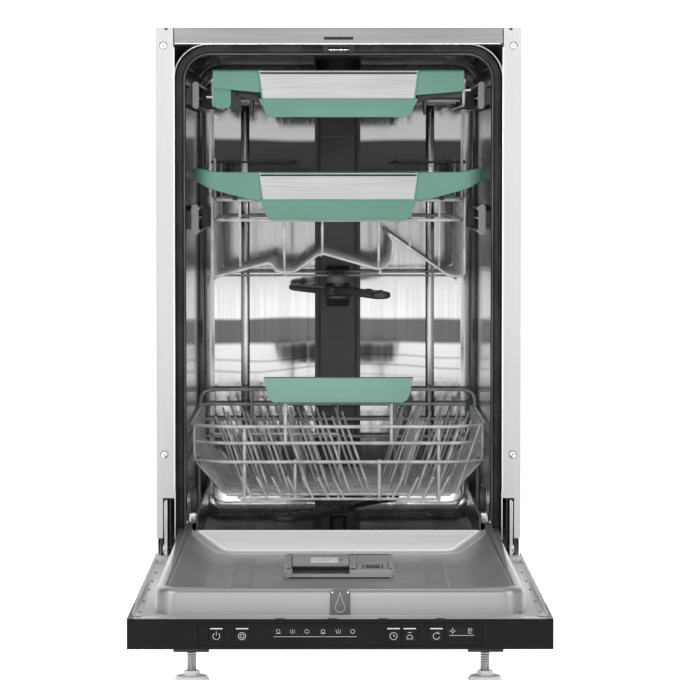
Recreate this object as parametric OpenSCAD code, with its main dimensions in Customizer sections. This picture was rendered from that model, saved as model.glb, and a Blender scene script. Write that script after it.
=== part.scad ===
// Slim built-in dishwasher, door open. +Z up, front faces -Y, standing on z = 0.
// The origin is under the middle of the whole machine with its door open.

/* [Cabinet] */
// Overall width of the cabinet and of the door
body_w = 448; // [400:1:560]
// Overall height on fully retracted feet
body_h = 815; // [815:1:980]
// Depth of the cabinet without the door
cabinet_d = 518; // [450:1:640]
// Thickness of the folded casing sheet
sheet_t = 1; // [0.7:0.1:1.5]
// Underside of the base tray above the floor
base_z = 40; // [35:1:60]
// Height of the base tray
base_h = 92; // [85:1:94]
// How far the base tray stands back behind the front
toe_recess = 100; // [90:1:120]
// Travel of each levelling foot
foot_travel = 50; // [20:1:60]
// Diameter of a levelling foot's pad
foot_d = 44; // [36:1:56]

/* [Tub] */
// Wall of the stainless tub
tub_wall = 1.2; // [0.8:0.1:1.6]
// Gap from the cabinet's side to the inside of the tub
tub_side_gap = 34; // [30:1:40]
// Gap from the cabinet's top to the inside of the tub
tub_top_gap = 32; // [28:1:40]
// Gap from the cabinet's back to the inside of the tub
tub_rear_gap = 28; // [24:1:40]
// Level of the tub floor
tub_floor = 165; // [160:1:175]
// Radius of the tub's long corners
tub_r = 34; // [24:1:44]
// Depth of the wider mouth that the door rim enters
mouth_d = 41; // [41:1:46]
// Width of the rubber gasket
gasket_w = 12; // [8:1:13]

/* [Door] */
// Thickness of the door without its inner rim
door_t = 32; // [28:1:34]
// Height of the inner rim above the door's flange
rim_h = 28; // [22:1:28.5]
// Gap between the closed door and the cabinet
door_gap = 0.5; // [0.5:0.1:1]
// Gap between the closed door and the top of the cabinet
door_top_gap = 1.5; // [1:0.5:6]
// Hinge pin behind the cabinet front
pivot_d = 4; // [3:0.5:6]
// Height of the hinge pin
pivot_z = 175.5; // [174:0.5:180]
// Door sheet that reaches past the hinge pin
door_lip = 15; // [8:1:16]
// Diameter of the hinge pin
hinge_pin_d = 8; // [6:1:10]
// Radial clearance of the hinge pin
pin_clear = 0.05; // [0.03:0.01:0.1]
// Thickness of the control fascia
fascia_t = 3; // [2:0.5:4]
// Side of a square push button
button_w = 16; // [12:1:18]
// Gap round a push button
button_gap = 0.4; // [0.3:0.1:0.6]
// Travel of a push button
button_travel = 1.5; // [1:0.5:2]

/* [Baskets] */
// Main wire of the baskets
wire_d = 4.4; // [3.5:0.1:5]
// Thin wire and tines
tine_d = 3.4; // [2.5:0.1:4]
// Wheel diameter of the lower basket
wheel_d = 31; // [26:1:34]
// Wheel width
wheel_w = 8; // [6:1:9]
// Track that the wheels roll on, above the tub floor
track_h = 46; // [44:1:50]
// Distance of the cutlery tray's floor below the cabinet top
tray_drop = 85; // [80:1:95]
// Distance of the middle basket's rim below the cabinet top
middle_drop = 209; // [205:1:215]
// Height range of the middle basket
lift_travel = 24; // [12:1:24]
// Half length of the middle spray arm
middle_arm_r = 174; // [140:1:176]
// Half length of the lower spray arm
lower_arm_r = 168; // [140:1:170]
// Running clearance between sliding pieces
slide_gap = 0.5; // [0.4:0.1:1]

/* [Hidden] */
$fn = 32;

eps = 0.01;
half_w = body_w / 2;
// The open door reaches this far in front of the cabinet, which sets the origin.
door_reach = body_h - door_top_gap - pivot_z - pivot_d;
front_y = (door_reach - cabinet_d) / 2;
rear_y = front_y + cabinet_d;
door_end = front_y - door_reach;
pivot_y = front_y + pivot_d;
screw_z = [body_h - 22, body_h - 523.3];

// Tub
tub_x = half_w - tub_side_gap;
tub_top = body_h - tub_top_gap;
tub_y0 = front_y + mouth_d;
tub_y1 = rear_y - tub_rear_gap;
mouth_x = tub_x + gasket_w - 1.5;
mouth_top = tub_top + gasket_w - 1;
sill_top = tub_floor + 21;
track_z = tub_floor + track_h;
track_x = tub_x - 14.5;
arm_y = front_y + 250;
lower_arm_y = front_y + 235;
inlet_x = 150;
drain_x = 95;
service_d = 44;
sump_r = 62;
filter_r = 42;
salt_x = -tub_x + 62;
salt_y = front_y + 128;
salt_r = 22;

// Door, lying open
flange_z = pivot_z - pivot_d - door_gap;
outer_z = flange_z - door_t;
rim_top = flange_z + rim_h;
rim_x = mouth_x - 2.5;
rim_w = 19;
rim_slope = 29;
rim_y1 = front_y - 2;
rim_y0 = door_end + 33;
basin_z = flange_z + 1.5;
hinge_x = half_w - 12;
hinge_arm_t = 3;
bracket_d = 74;
fascia_return = 20;
fit = 0.4;
button_x = [-130, -103, 56, 73, 101];
button_z = outer_z + 15.5;
disp_y0 = door_end + 349;
disp_l = 165;
disp_x = 64;
disp_z = basin_z + 10;
lid_x0 = -55;
lid_x1 = 12;

// Centre distances of crossing wires, a little under touching so that they weld
weld = wire_d - 0.8;
weld_thin = (wire_d + tine_d) / 2 - 0.5;

// Lower basket
low_x = tub_x - 6;
low_floor_x = tub_x - 40;
low_y0 = front_y + 53;
low_y1 = tub_y1 - 22;
low_floor_z = track_z + 26;
low_rim_z = low_floor_z + 85;
wheel_x = tub_x - 8.5;
wheel_y0 = front_y + 100;
wheel_y1 = tub_y1 - 60;
wheel_z = track_z + 0.4 + wheel_d / 2;
wheel_axle_d = 6;

// Middle basket
mid_x = tub_x - 33;
mid_rim_z = body_h - middle_drop;
mid_floor_z = mid_rim_z - 99;
mid_y0 = front_y + 44;
mid_y1 = tub_y1 - 40;
mid_rail_z = mid_rim_z - 26.5;
mid_arm_z = mid_floor_z - 23;
shelf_z = mid_rim_z + 45;
mid_grip_z = mid_rim_z + 38;

// Cutlery tray
tray_x = tub_x - 30;
tray_z = body_h - tray_drop;
tray_y0 = front_y + 40;
tray_y1 = tub_y1 - 40;
tray_rail_z = tray_z + 3;
rail_x = tub_x - 10;
rail_y0 = front_y + 36;
rail_y1 = tub_y1 - 16;
// front gliders stay behind the end caps when a rail has slid out by half a basket's travel
glider_y = rail_y0 + 208;
handle_y = front_y + 30;
tray_grip_z = tray_z + 34;

// Points of an arc, and of a rounded rectangle from low to high corner.
function arc(cx, cy, r, a0, a1, n = 8) =
  [for (i = [0:n]) let (a = a0 + (a1 - a0) * i / n) [cx + r * cos(a), cy + r * sin(a)]];
function round_box(x0, y0, x1, y1, r, n = 8) = concat(
  arc(x1 - r, y1 - r, r, 0, 90, n), arc(x0 + r, y1 - r, r, 90, 180, n),
  arc(x0 + r, y0 + r, r, 180, 270, n), arc(x1 - r, y0 + r, r, 270, 360, n));

module slab(x0, x1, y0, y1, z0, z1)
  translate([x0, y0, z0]) cube([x1 - x0, y1 - y0, z1 - z0]);

// A slab and its mirror image on the other side of the machine.
module slab_pair(x0, x1, y0, y1, z0, z1)
  for (side = [0, 1]) mirror([side, 0, 0]) slab(x0, x1, y0, y1, z0, z1);

// Extrudes an X-Z outline from y0 to y1.
module along_y(y0, y1)
  translate([0, y1, 0]) rotate([90, 0, 0]) linear_extrude(y1 - y0) children();

// Extrudes a Y-Z outline from x0 to x1.
module along_x(x0, x1)
  translate([x0, 0, 0]) rotate([90, 0, 90]) linear_extrude(x1 - x0) children();

// Wire between two points, drawn with six flats and a little over length at both ends
// so that it meets the next stretch of a bent wire.
module wire(a, b, d, over = 0) {
  v = b - a;
  l = norm(v);
  translate(a) rotate([0, acos(v[2] / l), atan2(v[1], v[0])]) translate([0, 0, -over])
    cylinder(d = d, h = l + 2 * over, $fn = 6);
}

module bent_wire(points, d)
  for (i = [0:len(points) - 2]) wire(points[i], points[i + 1], d, 0.3 * d);

// ---- cabinet -------------------------------------------------------------

module tub_profile(x, z0, z1, r) polygon(round_box(-x, z0, x, z1, r, 12));

module tub() color([0.72, 0.72, 0.71]) {
  w = tub_wall;
  difference() {
    union() {
      // main shell with its back wall
      along_y(tub_y0, tub_y1 + w)
        tub_profile(tub_x + w, tub_floor - w, tub_top + w, tub_r + w);
      // flange that steps out to the mouth, and the mouth's skirt
      along_y(tub_y0, tub_y0 + w)
        tub_profile(mouth_x + w, tub_floor - w - 14, mouth_top + w, tub_r + 8 + w);
      along_y(front_y + sheet_t + 0.2, tub_y0 + eps) difference() {
        tub_profile(mouth_x + w, tub_floor - w - 14, mouth_top + w, tub_r + 8 + w);
        tub_profile(mouth_x, tub_floor - 60, mouth_top, tub_r + 8);
        translate([-half_w, 0]) square([body_w, sill_top]);
      }
    }
    along_y(tub_y0 + w, tub_y1) tub_profile(tub_x, tub_floor, tub_top, tub_r);
    // the mouth opening, with a raised sill that keeps the water in
    along_y(tub_y0 - 1, tub_y0 + w + 1)
      polygon(round_box(-tub_x, sill_top, tub_x, tub_top, tub_r - 6, 12));
    translate([0, lower_arm_y, tub_floor - 5]) cylinder(r = sump_r - 4, h = 10, $fn = 64);
    translate([salt_x, salt_y, tub_floor - 5]) cylinder(r = salt_r + 3, h = 10, $fn = 48);
  }
  // wheel tracks along both sides of the floor
  slab_pair(track_x, tub_x + eps, front_y + mouth_d + w, tub_y1 - 2, track_z - 1.2, track_z);
  slab_pair(track_x, track_x + 1.2, front_y + mouth_d + w, tub_y1 - 2, tub_floor - eps, track_z);
  // two stiffening ribs pressed into the back wall
  for (x = [-1, 1]) translate([x * (tub_x - 67), tub_y1, tub_floor - eps])
    intersection() {
      cylinder(r = 6, h = tub_top - tub_floor - tub_wall);
      translate([-8, -8, 0]) cube([16, 8.2, 1000]);
    }
}

// Folded side: outer sheet and front flange, cut back round the hinge.
module side_panel() {
  t = sheet_t;
  flange_in = mouth_x + tub_wall + 0.3;
  difference() {
    union() {
      slab(half_w - t, half_w, front_y, rear_y, base_z + 8, body_h);
      slab(flange_in, half_w - t + eps, front_y, front_y + t, flange_z + 17.4, body_h);
      slab(half_w - 18, half_w - t + eps, rear_y - t - 1.5, rear_y - 1.5, base_z + 8, body_h - 3);
    }
    slab(flange_in - 1, half_w - 8, front_y - 1, front_y + t + 1, flange_z + 10, flange_z + 67);
    slab(half_w - 5, half_w + 1, front_y - 1, front_y + 30, 0, flange_z + 17.4);
    slab(half_w - 5, half_w + 1, front_y - 1, front_y + toe_recess, 0, base_z + base_h + 2);
    for (z = screw_z)
      translate([half_w - 10, front_y - 1, z]) rotate([-90, 0, 0]) cylinder(d = 5, h = t + 2);
  }
}

module side_panel_left() color([0.86, 0.86, 0.86]) mirror([1, 0, 0]) side_panel();
module side_panel_right() color([0.86, 0.86, 0.86]) side_panel();

module top_plate() color([0.72, 0.72, 0.72]) {
  t = sheet_t;
  x = half_w - t - 0.2;
  strip_x = mouth_x + tub_wall;
  slab(-x, x, front_y + t + 0.2, rear_y - t - 3, body_h - t, body_h);
  slab(-strip_x, strip_x, front_y, front_y + t, mouth_top + 1.6, body_h);
  slab(-strip_x, strip_x, front_y + eps, front_y + t + 1, body_h - t, body_h);
}

module rear_panel() color([0.7, 0.71, 0.72]) {
  x = half_w - sheet_t - 0.2;
  difference() {
    slab(-x, x, rear_y - sheet_t, rear_y, base_z + base_h + 2, body_h - 2);
    for (z = [body_h - 160, body_h - 320])
      for (dx = [-110, 0, 110]) slab(dx - 32, dx + 32, rear_y - 2, rear_y + 1, z, z + 5);
  }
}

// Moulded tray that carries the pumps, the softener and the feet.
module base_tray() color([0.16, 0.16, 0.17]) {
  x = half_w - sheet_t - 0.5;
  y0 = front_y + toe_recess;
  y1 = rear_y - sheet_t - 4;
  difference() {
    slab(-x, x, y0, y1, base_z, base_z + base_h);
    slab(-x + 3, x - 3, y0 + 3, y1 - 3, base_z + 3, base_z + base_h + 1);
    // stud bores of the feet, clear of the threads
    translate([0, rear_y - 60, base_z - 1]) cylinder(d = 13, h = 8);
    // service openings in the back
    for (x = [-inlet_x, drain_x, inlet_x])
      translate([x, y1 - 5, base_z + 60]) rotate([-90, 0, 0]) cylinder(d = service_d, h = 8);
  }
  // outriggers that hold the front feet under the cabinet's front corners
  for (s = [-1, 1]) difference() {
    slab(s * (half_w - 40) - 22, s * (half_w - 40) + 22, y0 - 46, y0 + eps, base_z, base_z + 26);
    translate([s * (half_w - 40), y0 - 24, base_z - 1]) cylinder(d = 13, h = 40);
  }
  // posts that lift the casing off the tray
  for (s = [-1, 1]) for (y = [y0 + 30, y1 - 30])
    slab(s * (x - 12) - 6, s * (x - 12) + 6, y - 6, y + 6, base_z + 2, tub_floor - 30);
}

module gasket_ring(x_out, z_top, r, z0) difference() {
  polygon(round_box(-x_out, z0 - 60, x_out, z_top, r, 12));
  polygon(round_box(-x_out + gasket_w, z0 - 80, x_out - gasket_w, z_top - gasket_w, r - 8, 12));
  translate([-body_w, z0 - 200]) square([2 * body_w, 200]);
}

module door_gasket() color([0.05, 0.05, 0.05]) {
  along_y(front_y + 30, tub_y0 - 0.05) gasket_ring(mouth_x - 0.2, mouth_top - 0.2, tub_r + 8, sill_top + 1);
  // lip along the sill
  slab(-track_x, track_x, front_y + 30, tub_y0 - 0.05, sill_top - 14, sill_top - 1);
}

module side_screws() color([0.8, 0.8, 0.8])
  for (s = [-1, 1]) for (z = screw_z)
    translate([s * (half_w - 10), front_y, z]) rotate([90, 0, 0]) {
      difference() {
        cylinder(d = 9, h = 1.8);
        translate([0, 0, 1]) cylinder(d = 2.4, h = 2);
      }
      translate([0, 0, -10]) cylinder(d = 4.2, h = 10 + eps);
    }

module latch_strike() color([0.05, 0.05, 0.05]) {
  difference() {
    slab(-19, 19, front_y + 2, front_y + 29, mouth_top - 10, mouth_top - 0.1);
    slab(-12, 12, front_y + 1, front_y + 22, mouth_top - 8.6, mouth_top - 2.4);
  }
  translate([-14, front_y + 18, mouth_top - 6]) rotate([0, 90, 0]) cylinder(d = 2.5, h = 28);
}

module hinge_brackets() color([0.1, 0.1, 0.1]) for (s = [0, 1]) mirror([s, 0, 0]) {
  for (x = [hinge_x - 6, hinge_x + 4]) difference() {
    slab(x, x + 2, front_y + 1.5, front_y + bracket_d, pivot_z - 12, pivot_z + 64);
    translate([x - 1, pivot_y, pivot_z]) rotate([0, 90, 0]) cylinder(d = hinge_pin_d, h = 4);
  }
  slab(hinge_x - 6, hinge_x + 6, front_y + bracket_d - eps, front_y + bracket_d + 2,
    pivot_z - 12, pivot_z + 64);
  translate([hinge_x - 6, pivot_y, pivot_z]) rotate([0, 90, 0])
    cylinder(d = hinge_pin_d, h = 12);
}

// Coil spring drawn as its turns, hooked to the base.
module balance_springs() color([0.55, 0.55, 0.57]) for (s = [-1, 1])
  translate([s * (half_w - 12), front_y + 150, base_z + base_h + 12]) {
    for (i = [0:11]) translate([0, i * 9, 0]) rotate([-90, 0, 0])
      rotate_extrude() translate([6, 0]) circle(d = 2.4);
    slab(-1, 1, -8, 107, -4, -2);
  }

// ---- wet parts -----------------------------------------------------------

module sump() color([0.12, 0.12, 0.13]) translate([0, lower_arm_y, 0]) {
  difference() {
    union() {
      translate([0, 0, tub_floor - 62]) cylinder(r = sump_r - 8, h = 62 - tub_wall - 0.1, $fn = 64);
      translate([0, 0, tub_floor - 8]) cylinder(r = sump_r, h = 8 - tub_wall - 0.1, $fn = 64);
    }
    translate([0, 0, tub_floor - 58]) cylinder(r = sump_r - 11, h = 60, $fn = 64);
    translate([sump_r - 20, 0, tub_floor - 40]) rotate([0, 90, 0]) cylinder(d = 30, h = 30);
  }
  // central column that feeds and carries the lower spray arm
  translate([0, 0, tub_floor - 60]) cylinder(d = 22, h = 60 + 27);
}

module circulation_pump() color([0.2, 0.2, 0.22]) translate([0, lower_arm_y, base_z + 48]) {
  translate([sump_r + 6, 0, 20]) rotate([0, 90, 0]) {
    cylinder(d = 62, h = 26);
    translate([0, 0, 26 - eps]) cylinder(d = 74, h = 46);
    translate([0, 0, -12]) cylinder(d = 28, h = 12 + eps);
  }
}

// Drain pump and the hose outlet that it feeds at the back of the base.
module drain_pump() color([0.25, 0.25, 0.27]) {
  y1 = rear_y - sheet_t - 4;
  translate([-30, lower_arm_y + 96, base_z + 34]) rotate([0, 90, 0]) {
    cylinder(d = 44, h = 46);
    translate([0, 0, -14]) cylinder(d = 34, h = 14 + eps);
  }
  translate([drain_x, y1 - 40, base_z + 60]) rotate([-90, 0, 0]) difference() {
    cylinder(d = 19, h = 42);
    translate([0, 0, -1]) cylinder(d = 14, h = 60);
  }
  difference() {
    slab(70, 120, y1 - 60, y1 - 39.9, base_z + 46, base_z + 76);
    translate([drain_x, y1 - 50, base_z + 60]) rotate([-90, 0, 0]) cylinder(d = 14, h = 30);
  }
}

// Salt container under the tub floor, with its threaded neck through the floor.
module water_softener() color([0.75, 0.75, 0.72]) translate([salt_x, salt_y, 0]) {
  difference() {
    union() {
      slab(-46, 44, 6, 150, base_z + 8, base_z + base_h - 6);
      translate([0, 0, base_z + 8]) cylinder(r = salt_r + 2.5, h = tub_floor - 5 - base_z, $fn = 48);
    }
    translate([0, 0, base_z + 14]) cylinder(r = salt_r, h = 200, $fn = 48);
  }
}

module salt_cap() color([0.12, 0.12, 0.13])
  translate([salt_x, salt_y, tub_floor + 3.3]) {
    cylinder(r = 29, h = 10, $fn = 48);
    for (a = [0, 60, 120]) rotate(a) slab(-25, 25, -2.5, 2.5, 10 - eps, 15);
    translate([0, 0, -18]) cylinder(r = salt_r - 0.4, h = 18 + eps, $fn = 48);
  }

module inlet_valve() color([0.85, 0.85, 0.82]) {
  y1 = rear_y - sheet_t - 4;
  translate([-inlet_x, y1 - 40, base_z + 60]) {
    rotate([-90, 0, 0]) difference() {
      cylinder(d = 26.4, h = 42);
      translate([0, 0, 4]) cylinder(d = 15, h = 60);
    }
    slab(-20, 20, -46, eps, -20, 22);
    slab(-12, 12, -40, -6, 22 - eps, 44);
  }
}

module mains_inlet() color([0.08, 0.08, 0.08]) {
  y1 = rear_y - sheet_t - 4;
  translate([inlet_x, y1 - 30, base_z + 60]) {
    rotate([-90, 0, 0]) difference() {
      cylinder(d = 24, h = 32);
      translate([0, 0, 4]) cylinder(d = 8.4, h = 60);
    }
    slab(-24, 24, -44, eps, -26, 28);
  }
}

// Riser on the back wall, ceiling duct and the shower head at its end.
module water_duct() color([0.16, 0.16, 0.17]) {
  y = tub_y1;
  slab(-27, 27, y - 14, y - 0.1, tub_floor + 0.2, tub_top - 0.2);
  slab_pair(27 - eps, 32, y - 8, y - 0.1, tub_floor + 0.2, tub_top - 0.2);
  slab(-20, 20, arm_y, y - 13, tub_top - 12, tub_top - 0.2);
  translate([0, arm_y, tub_top - 22]) cylinder(r = 30, h = 21.8, $fn = 48);
  // docking port of the middle basket's feed pipe
  slab(-16, 16, y - 34, y - 14 + eps, mid_floor_z - 16 - lift_travel, mid_floor_z + 12);
}

module rail_bracket(z, h, x0) for (y = [rail_y0 + 34, rail_y0 + 150])
  slab(x0, tub_x - 0.02, y, y + 26, z - h / 2, z + h / 2);

module rail_brackets() color([0.35, 0.35, 0.36]) for (s = [0, 1]) mirror([s, 0, 0]) {
  rail_bracket(tray_rail_z, 20, rail_x + slide_gap);
  rail_bracket(mid_rail_z, 24, rail_x + 2 + slide_gap);
}

module foot(x, y) color([0.85, 0.85, 0.83]) translate([x, y, 0]) {
  cylinder(d1 = foot_d, d2 = foot_d - 6, h = 8, $fn = 48);
  translate([0, 0, 8 - eps]) cylinder(d = 20, h = 6, $fn = 6);
  translate([0, 0, 14 - 2 * eps]) cylinder(d = 12, h = base_z - 14 + 22);
}

module foot_front_left() foot(-(half_w - 40), front_y + toe_recess - 24);
module foot_front_right() foot(half_w - 40, front_y + toe_recess - 24);
module foot_rear() foot(0, rear_y - 60);

// Lift-out filter: a quarter turn frees it from the sump.
module filter_cup() color([0.3, 0.3, 0.31]) translate([0, lower_arm_y, 0]) {
  difference() {
    union() {
      translate([0, 0, tub_floor - 40]) cylinder(r = filter_r, h = 41, $fn = 64);
      translate([0, 0, tub_floor + 0.4]) cylinder(r = sump_r - 5, h = 3, $fn = 64);
    }
    translate([0, 0, tub_floor - 42]) cylinder(d = 24, h = 60);
    translate([0, 0, tub_floor - 37]) difference() {
      cylinder(r = filter_r - 3, h = 60, $fn = 64);
      cylinder(d = 30, h = 60);
    }
  }
  for (a = [0, 180]) rotate(a) slab(15, filter_r - 1, -2, 2, tub_floor - 1, tub_floor + 9);
}

// ---- door ----------------------------------------------------------------

module door_panel() color([0.8, 0.8, 0.8]) {
  t = sheet_t;
  y1 = rim_y1;
  wide_y0 = door_end + fascia_return + fit;
  difference() {
    union() {
      slab(-half_w, half_w, wide_y0, y1, outer_z, outer_z + t);
      slab(-half_w + 3.6, half_w - 3.6, door_end + fascia_t + fit, wide_y0 + eps, outer_z, outer_z + t);
      slab_pair(half_w - t, half_w, wide_y0, y1, outer_z, flange_z);
      // lip below the hinge
      slab(-hinge_x + 10, hinge_x - 10, y1 - eps, pivot_y + door_lip, outer_z, outer_z + t);
      slab(-hinge_x + 10, hinge_x - 10, pivot_y + door_lip - t, pivot_y + door_lip,
        outer_z, flange_z - 12);
    }
    // fixing holes for the furniture front
    for (s = [-1, 1]) for (y = [door_end + 80, door_end + 480])
      translate([s * (half_w - 60), y, outer_z - 1]) cylinder(d = 4.2, h = 4);
  }
}

// Rectangle outline whose height narrows downwards, for the basin's sloped walls.
module basin_cut(x, y0, y1, z0, z1, slope) intersection() {
  along_y(y0 - 1, y1 + 1)
    polygon([[-x + slope, z0], [x - slope, z0], [x, z1], [-x, z1]]);
  along_x(-x - 1, x + 1)
    polygon([[y0 + slope - 9, z0], [y1 - slope + 15, z0], [y1, z1], [y0, z1]]);
}

module liner_outline(grow) polygon(round_box(-rim_x - grow, rim_y0 - grow, rim_x + grow,
  rim_y1 + grow, 26 + grow, 8));

module door_liner() color([0.66, 0.66, 0.66]) {
  t = 1.2;
  in_x = rim_x - rim_w;
  difference() {
    union() {
      translate([0, 0, flange_z - t]) linear_extrude(rim_h + t) liner_outline(0);
      slab(-half_w + sheet_t + 0.2, half_w - sheet_t - 0.2, door_end + fascia_return + fit, rim_y1 - 30,
        flange_z - t, flange_z);
      slab(-half_w + 3.6, half_w - 3.6, door_end + fascia_t + fit, door_end + fascia_return + 1,
        flange_z - t, flange_z);
      slab(-rim_x, rim_x, rim_y1 - 34, rim_y1, flange_z - t, flange_z);
    }
    // basin
    basin_cut(in_x, rim_y0 + rim_w, rim_y1 - 4, basin_z, rim_top + eps, rim_slope);
    // holes that clear the heads of the casing screws when the door is shut
    for (s = [-1, 1]) for (z = screw_z)
      translate([s * (half_w - 10), pivot_y + pivot_z - z, flange_z - 3]) cylinder(d = 12, h = 6);
    // hollow under the rim
    difference() {
      translate([0, 0, flange_z - 2 * t]) linear_extrude(rim_h + t) liner_outline(-t);
      basin_cut(in_x + t, rim_y0 + rim_w - t, rim_y1 - 4 + t, basin_z, rim_top + eps, rim_slope);
      slab(-in_x, in_x, rim_y0 + rim_w, rim_y1 - 4, flange_z - t, basin_z + eps);
    }
  }
}

module fascia_hole(x, w, h, z) slab(x - w / 2, x + w / 2, door_end - 1, door_end + fascia_t + 1,
  z - h / 2, z + h / 2);

module control_panel() color([0.06, 0.06, 0.065]) difference() {
  union() {
    slab(-half_w, half_w, door_end, door_end + fascia_t, outer_z, flange_z - 0.2);
    slab_pair(half_w - 3, half_w, door_end + fascia_t - eps, door_end + fascia_return,
      outer_z, flange_z - 0.2);
  }
  for (x = button_x) fascia_hole(x, button_w + 2 * button_gap, button_w + 2 * button_gap, button_z);
  fascia_hole(-26.5, 92, 8, button_z + 4);
  fascia_hole(127, 30, 8, button_z + 4);
}

module indicator_lights() color([0.5, 0.5, 0.52]) {
  slab(-72.4, 19.4, door_end + 0.3, door_end + fascia_t, button_z + 0.1, button_z + 7.9);
  slab(112.1, 141.9, door_end + 0.3, door_end + fascia_t, button_z + 0.1, button_z + 7.9);
}

module control_board() color([0.1, 0.35, 0.18]) {
  y = door_end + fascia_t + 6;
  slab(-150, 150, y, y + 1.6, outer_z + 3, flange_z - 4);
  slab(-60, -20, y + 1.6 - eps, y + 10, outer_z + 6, outer_z + 18);
  slab(40, 70, y + 1.6 - eps, y + 8, outer_z + 6, outer_z + 20);
}

module button(i) color([0.07, 0.07, 0.075]) translate([button_x[i], door_end, button_z]) {
  slab(-button_w / 2, button_w / 2, 0, fascia_t, -button_w / 2, button_w / 2);
  slab(-button_w / 2, button_w / 2, fascia_t - eps, fascia_t + 1.4, -button_w / 2, button_w / 2);
  slab(-button_w / 2, button_w / 2, fascia_t + 0.2, fascia_t + 1.4,
    -button_w / 2 - 1, button_w / 2 + 1);
  slab(-2, 2, fascia_t - eps, fascia_t + 3.8, -2, 2);
}

module power_button() button(0);
module program_button() button(1);
module delay_button() button(2);
module half_load_button() button(3);
module start_button() button(4);

// Dispenser: a detergent chamber under a sliding lid and a rinse-aid tank.
module dispenser_body() color([0.55, 0.55, 0.55]) difference() {
  translate([0, 0, basin_z + 0.1]) linear_extrude(disp_z - basin_z)
    polygon(round_box(-disp_x, disp_y0, disp_x, disp_y0 + disp_l, 8, 4));
  // recess round the lid, and the chamber under it
  slab(lid_x0, lid_x1, disp_y0 + 14, disp_y0 + disp_l - 12, disp_z - 4, disp_z + 1);
  slab(lid_x0 + 8, lid_x1 - 8, disp_y0 + 66, disp_y0 + disp_l - 22, basin_z + 1.5, disp_z);
  // seat of the rinse-aid flap
  slab(20, 57, disp_y0 + 14, disp_y0 + 90, disp_z - 4, disp_z + 1);
  translate([38.5, disp_y0 + 62, basin_z + 1.5]) cylinder(d = 20, h = 20);
}

module detergent_lid() color([0.45, 0.45, 0.46]) {
  y0 = disp_y0 + 62;
  y1 = disp_y0 + disp_l - 12.6;
  slab(lid_x0 + 0.6, lid_x1 - 0.6, y0, y1, disp_z - 3.4, disp_z - 0.6);
  slab(lid_x0 + 12, lid_x1 - 12, y0 + 6, y0 + 12, disp_z - 0.6 - eps, disp_z + 1.6);
}

module rinse_aid_cap() color([0.5, 0.5, 0.5]) {
  slab(20.6, 56.4, disp_y0 + 50, disp_y0 + 82, disp_z - 3.4, disp_z - 0.4);
  slab(33, 44, disp_y0 + 46.5, disp_y0 + 50 + eps, disp_z - 3, disp_z - 1);
  translate([21, disp_y0 + 84, disp_z - 1.9]) rotate([0, 90, 0]) cylinder(d = 2.6, h = 35);
  slab(24, 53, disp_y0 + 81, disp_y0 + 84, disp_z - 3, disp_z - 1.2);
}

module door_lock() color([0.3, 0.3, 0.3]) difference() {
  slab(-11, 11, rim_y0 - 3, rim_y0 - 0.05, flange_z + 0.4, rim_top - 0.3);
  along_y(rim_y0 - 4, rim_y0 + 1) polygon([[-4, flange_z + 5], [4, flange_z + 5], [0, rim_top - 5]]);
}

// Tapering fins on the rim that guide the basket wheels onto the door.
module wheel_guides() color([0.22, 0.22, 0.23]) for (s = [0, 1]) mirror([s, 0, 0]) {
  slab(rim_x - rim_w + 1, rim_x - 1.5, rim_y1 - 400, rim_y1, rim_top + 0.05, rim_top + 1.6);
  along_x(rim_x - 15, rim_x - 11.5) polygon([[rim_y1 - 400, rim_top + 0.05], [rim_y1, rim_top + 0.05],
    [rim_y1, rim_top + 9.5], [rim_y1 - 60, rim_top + 9]]);
}

module hinge_arms() color([0.6, 0.6, 0.62]) for (s = [0, 1]) mirror([s, 0, 0])
  difference() {
    union() {
      slab(hinge_x - hinge_arm_t / 2, hinge_x + hinge_arm_t / 2, front_y - 150, front_y - 8,
        flange_z - 24, flange_z - 6);
      along_x(hinge_x - hinge_arm_t / 2, hinge_x + hinge_arm_t / 2) polygon([
        [front_y - 10, flange_z - 24], [front_y - 10, flange_z - 6], [pivot_y - 9, pivot_z + 6],
        [pivot_y - 3, pivot_z + 60], [pivot_y + 7, pivot_z + 60], [pivot_y + 10, pivot_z + 4],
        [pivot_y + 8, pivot_z - 9], [pivot_y - 4, pivot_z - 14]]);
      // foot plate welded to the bar, which takes the screws of the door
      slab(hinge_x - 8, hinge_x + 8, front_y - 150, front_y - 40, flange_z - 5, flange_z - 3);
      slab(hinge_x - hinge_arm_t / 2, hinge_x + hinge_arm_t / 2, front_y - 150, front_y - 40,
        flange_z - 7, flange_z - 4);
    }
    translate([hinge_x - 4, pivot_y, pivot_z]) rotate([0, 90, 0])
      cylinder(d = hinge_pin_d + 2 * pin_clear, h = 8);
  }

// ---- cutlery tray --------------------------------------------------------

// Channel that the gliders of a basket run in, closed by a cap at its front.
module rail(z, h, w) {
  slab(rail_x - 2, rail_x, rail_y0, rail_y1, z - h / 2, z + h / 2);
  slab(rail_x - w, rail_x - 2 + eps, rail_y0, rail_y1, z + h / 2 - 2, z + h / 2);
  slab(rail_x - w, rail_x - 2 + eps, rail_y0, rail_y1, z - h / 2, z - h / 2 + 2);
}

module rail_cap(z, h, x0, x1) along_y(rail_y0 - 4, rail_y0 + eps)
  polygon(round_box(x0, z - h / 2, x1, z + h / 2, 3.5, 4));

module tray_rails() color([0.5, 0.5, 0.5]) for (s = [0, 1]) mirror([s, 0, 0]) {
  rail(tray_rail_z, 30, 7);
  rail_cap(tray_rail_z, 34, rail_x - 8, rail_x + 0.2);
}

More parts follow.
